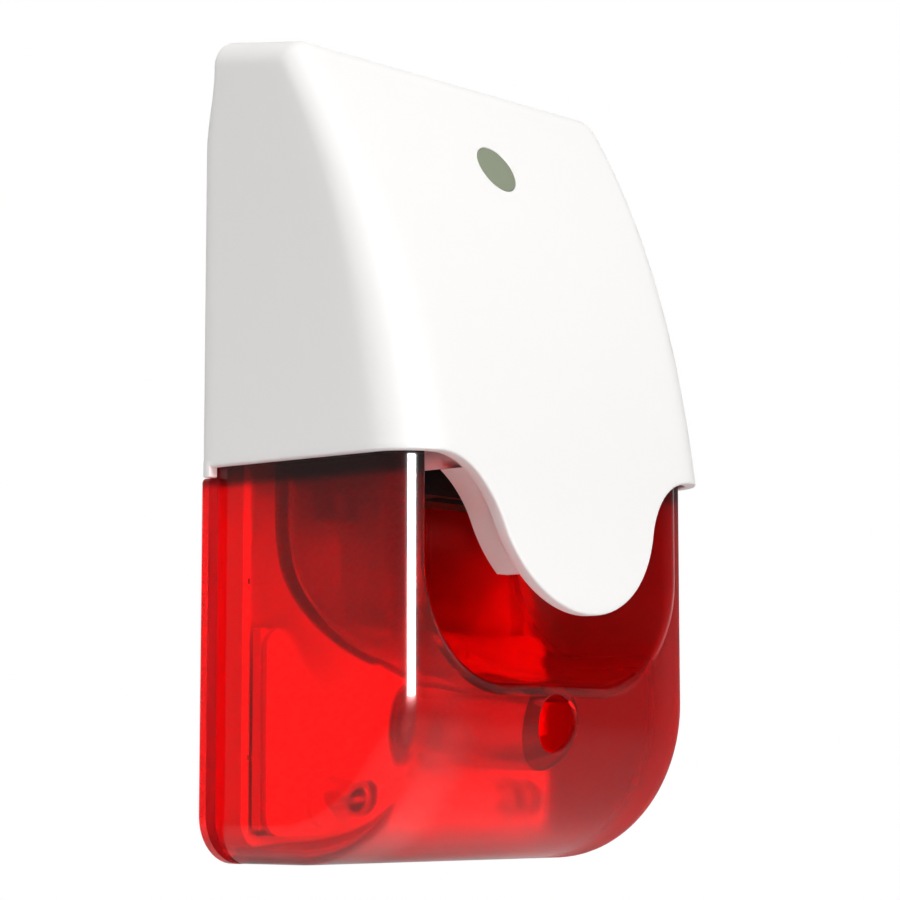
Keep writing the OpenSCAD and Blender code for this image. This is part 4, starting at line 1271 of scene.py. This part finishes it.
def repeat_tree():
    """One piece set down on every point, each turned about its own axis by chance."""
    tree, given, result = geometry_tree("set_on_points", {
        "Piece": "NodeSocketObject", "Most Turn": "NodeSocketFloat", "Seed": "NodeSocketInt",
        "Material": "NodeSocketMaterial"})
    piece = tree.nodes.new("GeometryNodeObjectInfo")
    piece.inputs["As Instance"].default_value = True
    tree.links.new(given.outputs["Piece"], piece.inputs["Object"])
    turn = tree.nodes.new("FunctionNodeRandomValue")
    turn.data_type = "FLOAT"
    tree.links.new(given.outputs["Most Turn"], turn.inputs[3])
    tree.links.new(given.outputs["Seed"], turn.inputs["Seed"])
    about = tree.nodes.new("ShaderNodeCombineXYZ")
    tree.links.new(turn.outputs[1], about.inputs["Y"])
    put = tree.nodes.new("GeometryNodeInstanceOnPoints")
    tree.links.new(given.outputs["Geometry"], put.inputs["Points"])
    tree.links.new(piece.outputs["Geometry"], put.inputs["Instance"])
    tree.links.new(about.outputs[0], put.inputs["Rotation"])
    return close_tree(tree, given, result, put.outputs[0])


def run_tree(name, tree, points, values):
    """The plain mesh that a geometry tree makes from some points."""
    obj = mesh_object(name, points, [])
    modifier = obj.modifiers.new("nodes", "NODES")
    modifier.node_group = tree
    for item in tree.interface.items_tree:
        if item.in_out == "INPUT" and item.name in values:
            modifier[item.identifier] = values[item.name]
    bake_modifiers(obj)
    tidy_mesh(obj)
    return smooth_faces(obj, 40)


SPRING_WIRE_R = 0.25 * MM
SPRING_TURNS = 3.0


def make_spring(tree):
    """Coil spring between the tamper switch and the plunger's head."""
    low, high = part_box("tamper_spring")
    wire = SPRING_WIRE_R
    coil_r = (high.x - low.x) / 2 - wire
    obj = run_tree("tamper_coil", tree, [], {
        "Turns": SPRING_TURNS, "Coil Radius": coil_r, "Length": high.y - low.y - 2 * wire,
        "Wire Radius": wire, "Material": MATERIALS["steel_screw"]})
    mid = (low + high) / 2
    for v in obj.data.vertices:
        x, y, z = v.co
        v.co = Vector((mid.x + x, low.y + wire + z, mid.z - y))
    tidy_mesh(obj)
    body = body_of(frame["nodes"]["tamper_spring"])[0]
    return finish(obj, body, SLOT_OF["tamper_spring"], "tamper_spring")


def screw_solid(head_r, head_h, shank_r, length, slots, slot_w, slot_l, slot_depth):
    """A screw about the Y axis. Its head ends at depth 0 and its shank goes on to the front."""
    dome = [(head_r * math.sin(a), -head_h * (0.25 + 0.75 * math.cos(a)))
            for a in steps(0, math.pi / 2, 8)]
    edge = 0.05 * MM
    profile = [(0, -head_h)] + dome[1:] + [(head_r, -edge), (head_r - edge, 0)]
    if length:
        profile += [(shank_r, 0), (shank_r, length - shank_r), (0.2 * shank_r, length)]
    profile += [(0, length)]
    solid = turned("screw", profile, 32)
    for k in range(slots):
        x, z = (slot_w / 2, slot_l / 2) if k else (slot_l / 2, slot_w / 2)
        slot = prism("slot", [(-x, -z), (x, -z), (x, z), (-x, z)],
                     -head_h - MM, -head_h + slot_depth)
        combine(solid, slot, "DIFFERENCE")
    return solid


def set_screws(node, tree, places, seed, **size):
    """Screws of one kind, set down on their (x, depth, z) places and turned by chance."""
    screw = screw_solid(**size)
    obj = run_tree(node + "_set", tree, [Vector((x, -d, z)) for x, d, z in places], {
        "Piece": screw, "Most Turn": math.pi, "Seed": seed, "Material": MATERIALS["steel_screw"]})
    bpy.data.objects.remove(screw)
    body = body_of(frame["nodes"][node])[0]
    return finish(obj, body, SLOT_OF[node], node)


BOARD_SCREW_D = 11 * MM
BOARD_SCREW_LEN = 7.6 * MM
DRIVER_SCREW_D = 12 * MM
DRIVER_SCREW_LEN = 18.5 * MM
TERMINALS = 4
TERMINAL_PITCH = 5 * MM
TERMINAL_X = 6.5 * MM
TERMINAL_D = 5.4 * MM
TERMINAL_Z = 12.9 * MM
CROSS_HEAD = dict(head_r=2.1 * MM, head_h=1.5 * MM, shank_r=0.85 * MM,
                  slots=2, slot_w=0.6 * MM, slot_l=2.4 * MM, slot_depth=0.7 * MM)
SLOTTED_HEAD = dict(head_r=1.7 * MM, head_h=1.6 * MM, shank_r=0,
                    slots=1, slot_w=0.5 * MM, slot_l=3.6 * MM, slot_depth=0.6 * MM)


def make_screws(tree):
    """The board, driver and terminal screws. The terminal screws are heads only."""
    board = [(side * BOARD_SCREW_X, BOARD_SCREW_D, z) for side in (-1, 1) for z in BOARD_SCREW_Z]
    driver = [(side * DRIVER_SCREW_X, DRIVER_SCREW_D, DRIVER_SCREW_Z) for side in (-1, 1)]
    terminal = [(TERMINAL_X + TERMINAL_PITCH * i, TERMINAL_D, TERMINAL_Z)
                for i in range(TERMINALS)]
    set_screws("board_screws", tree, board, seed=4, length=BOARD_SCREW_LEN, **CROSS_HEAD)
    set_screws("driver_screws", tree, driver, seed=7, length=DRIVER_SCREW_LEN, **CROSS_HEAD)
    set_screws("terminal_screws", tree, terminal, seed=2, length=0, **SLOTTED_HEAD)


# ---- carried-over nodes ----

def paint_nodes():
    """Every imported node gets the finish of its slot."""
    for name, obj in frame["nodes"].items():
        slots = obj.data.materials
        count = max(1, len(slots))
        slots.clear()
        for _ in range(count):
            slots.append(MATERIALS[SLOT_OF[name]])


# ---- the whole siren ----

make_camera()
make_light()
make_floor()
paint_nodes()
make_cover()
make_window()
make_lens()
make_spring(coil_tree())
make_screws(repeat_tree())
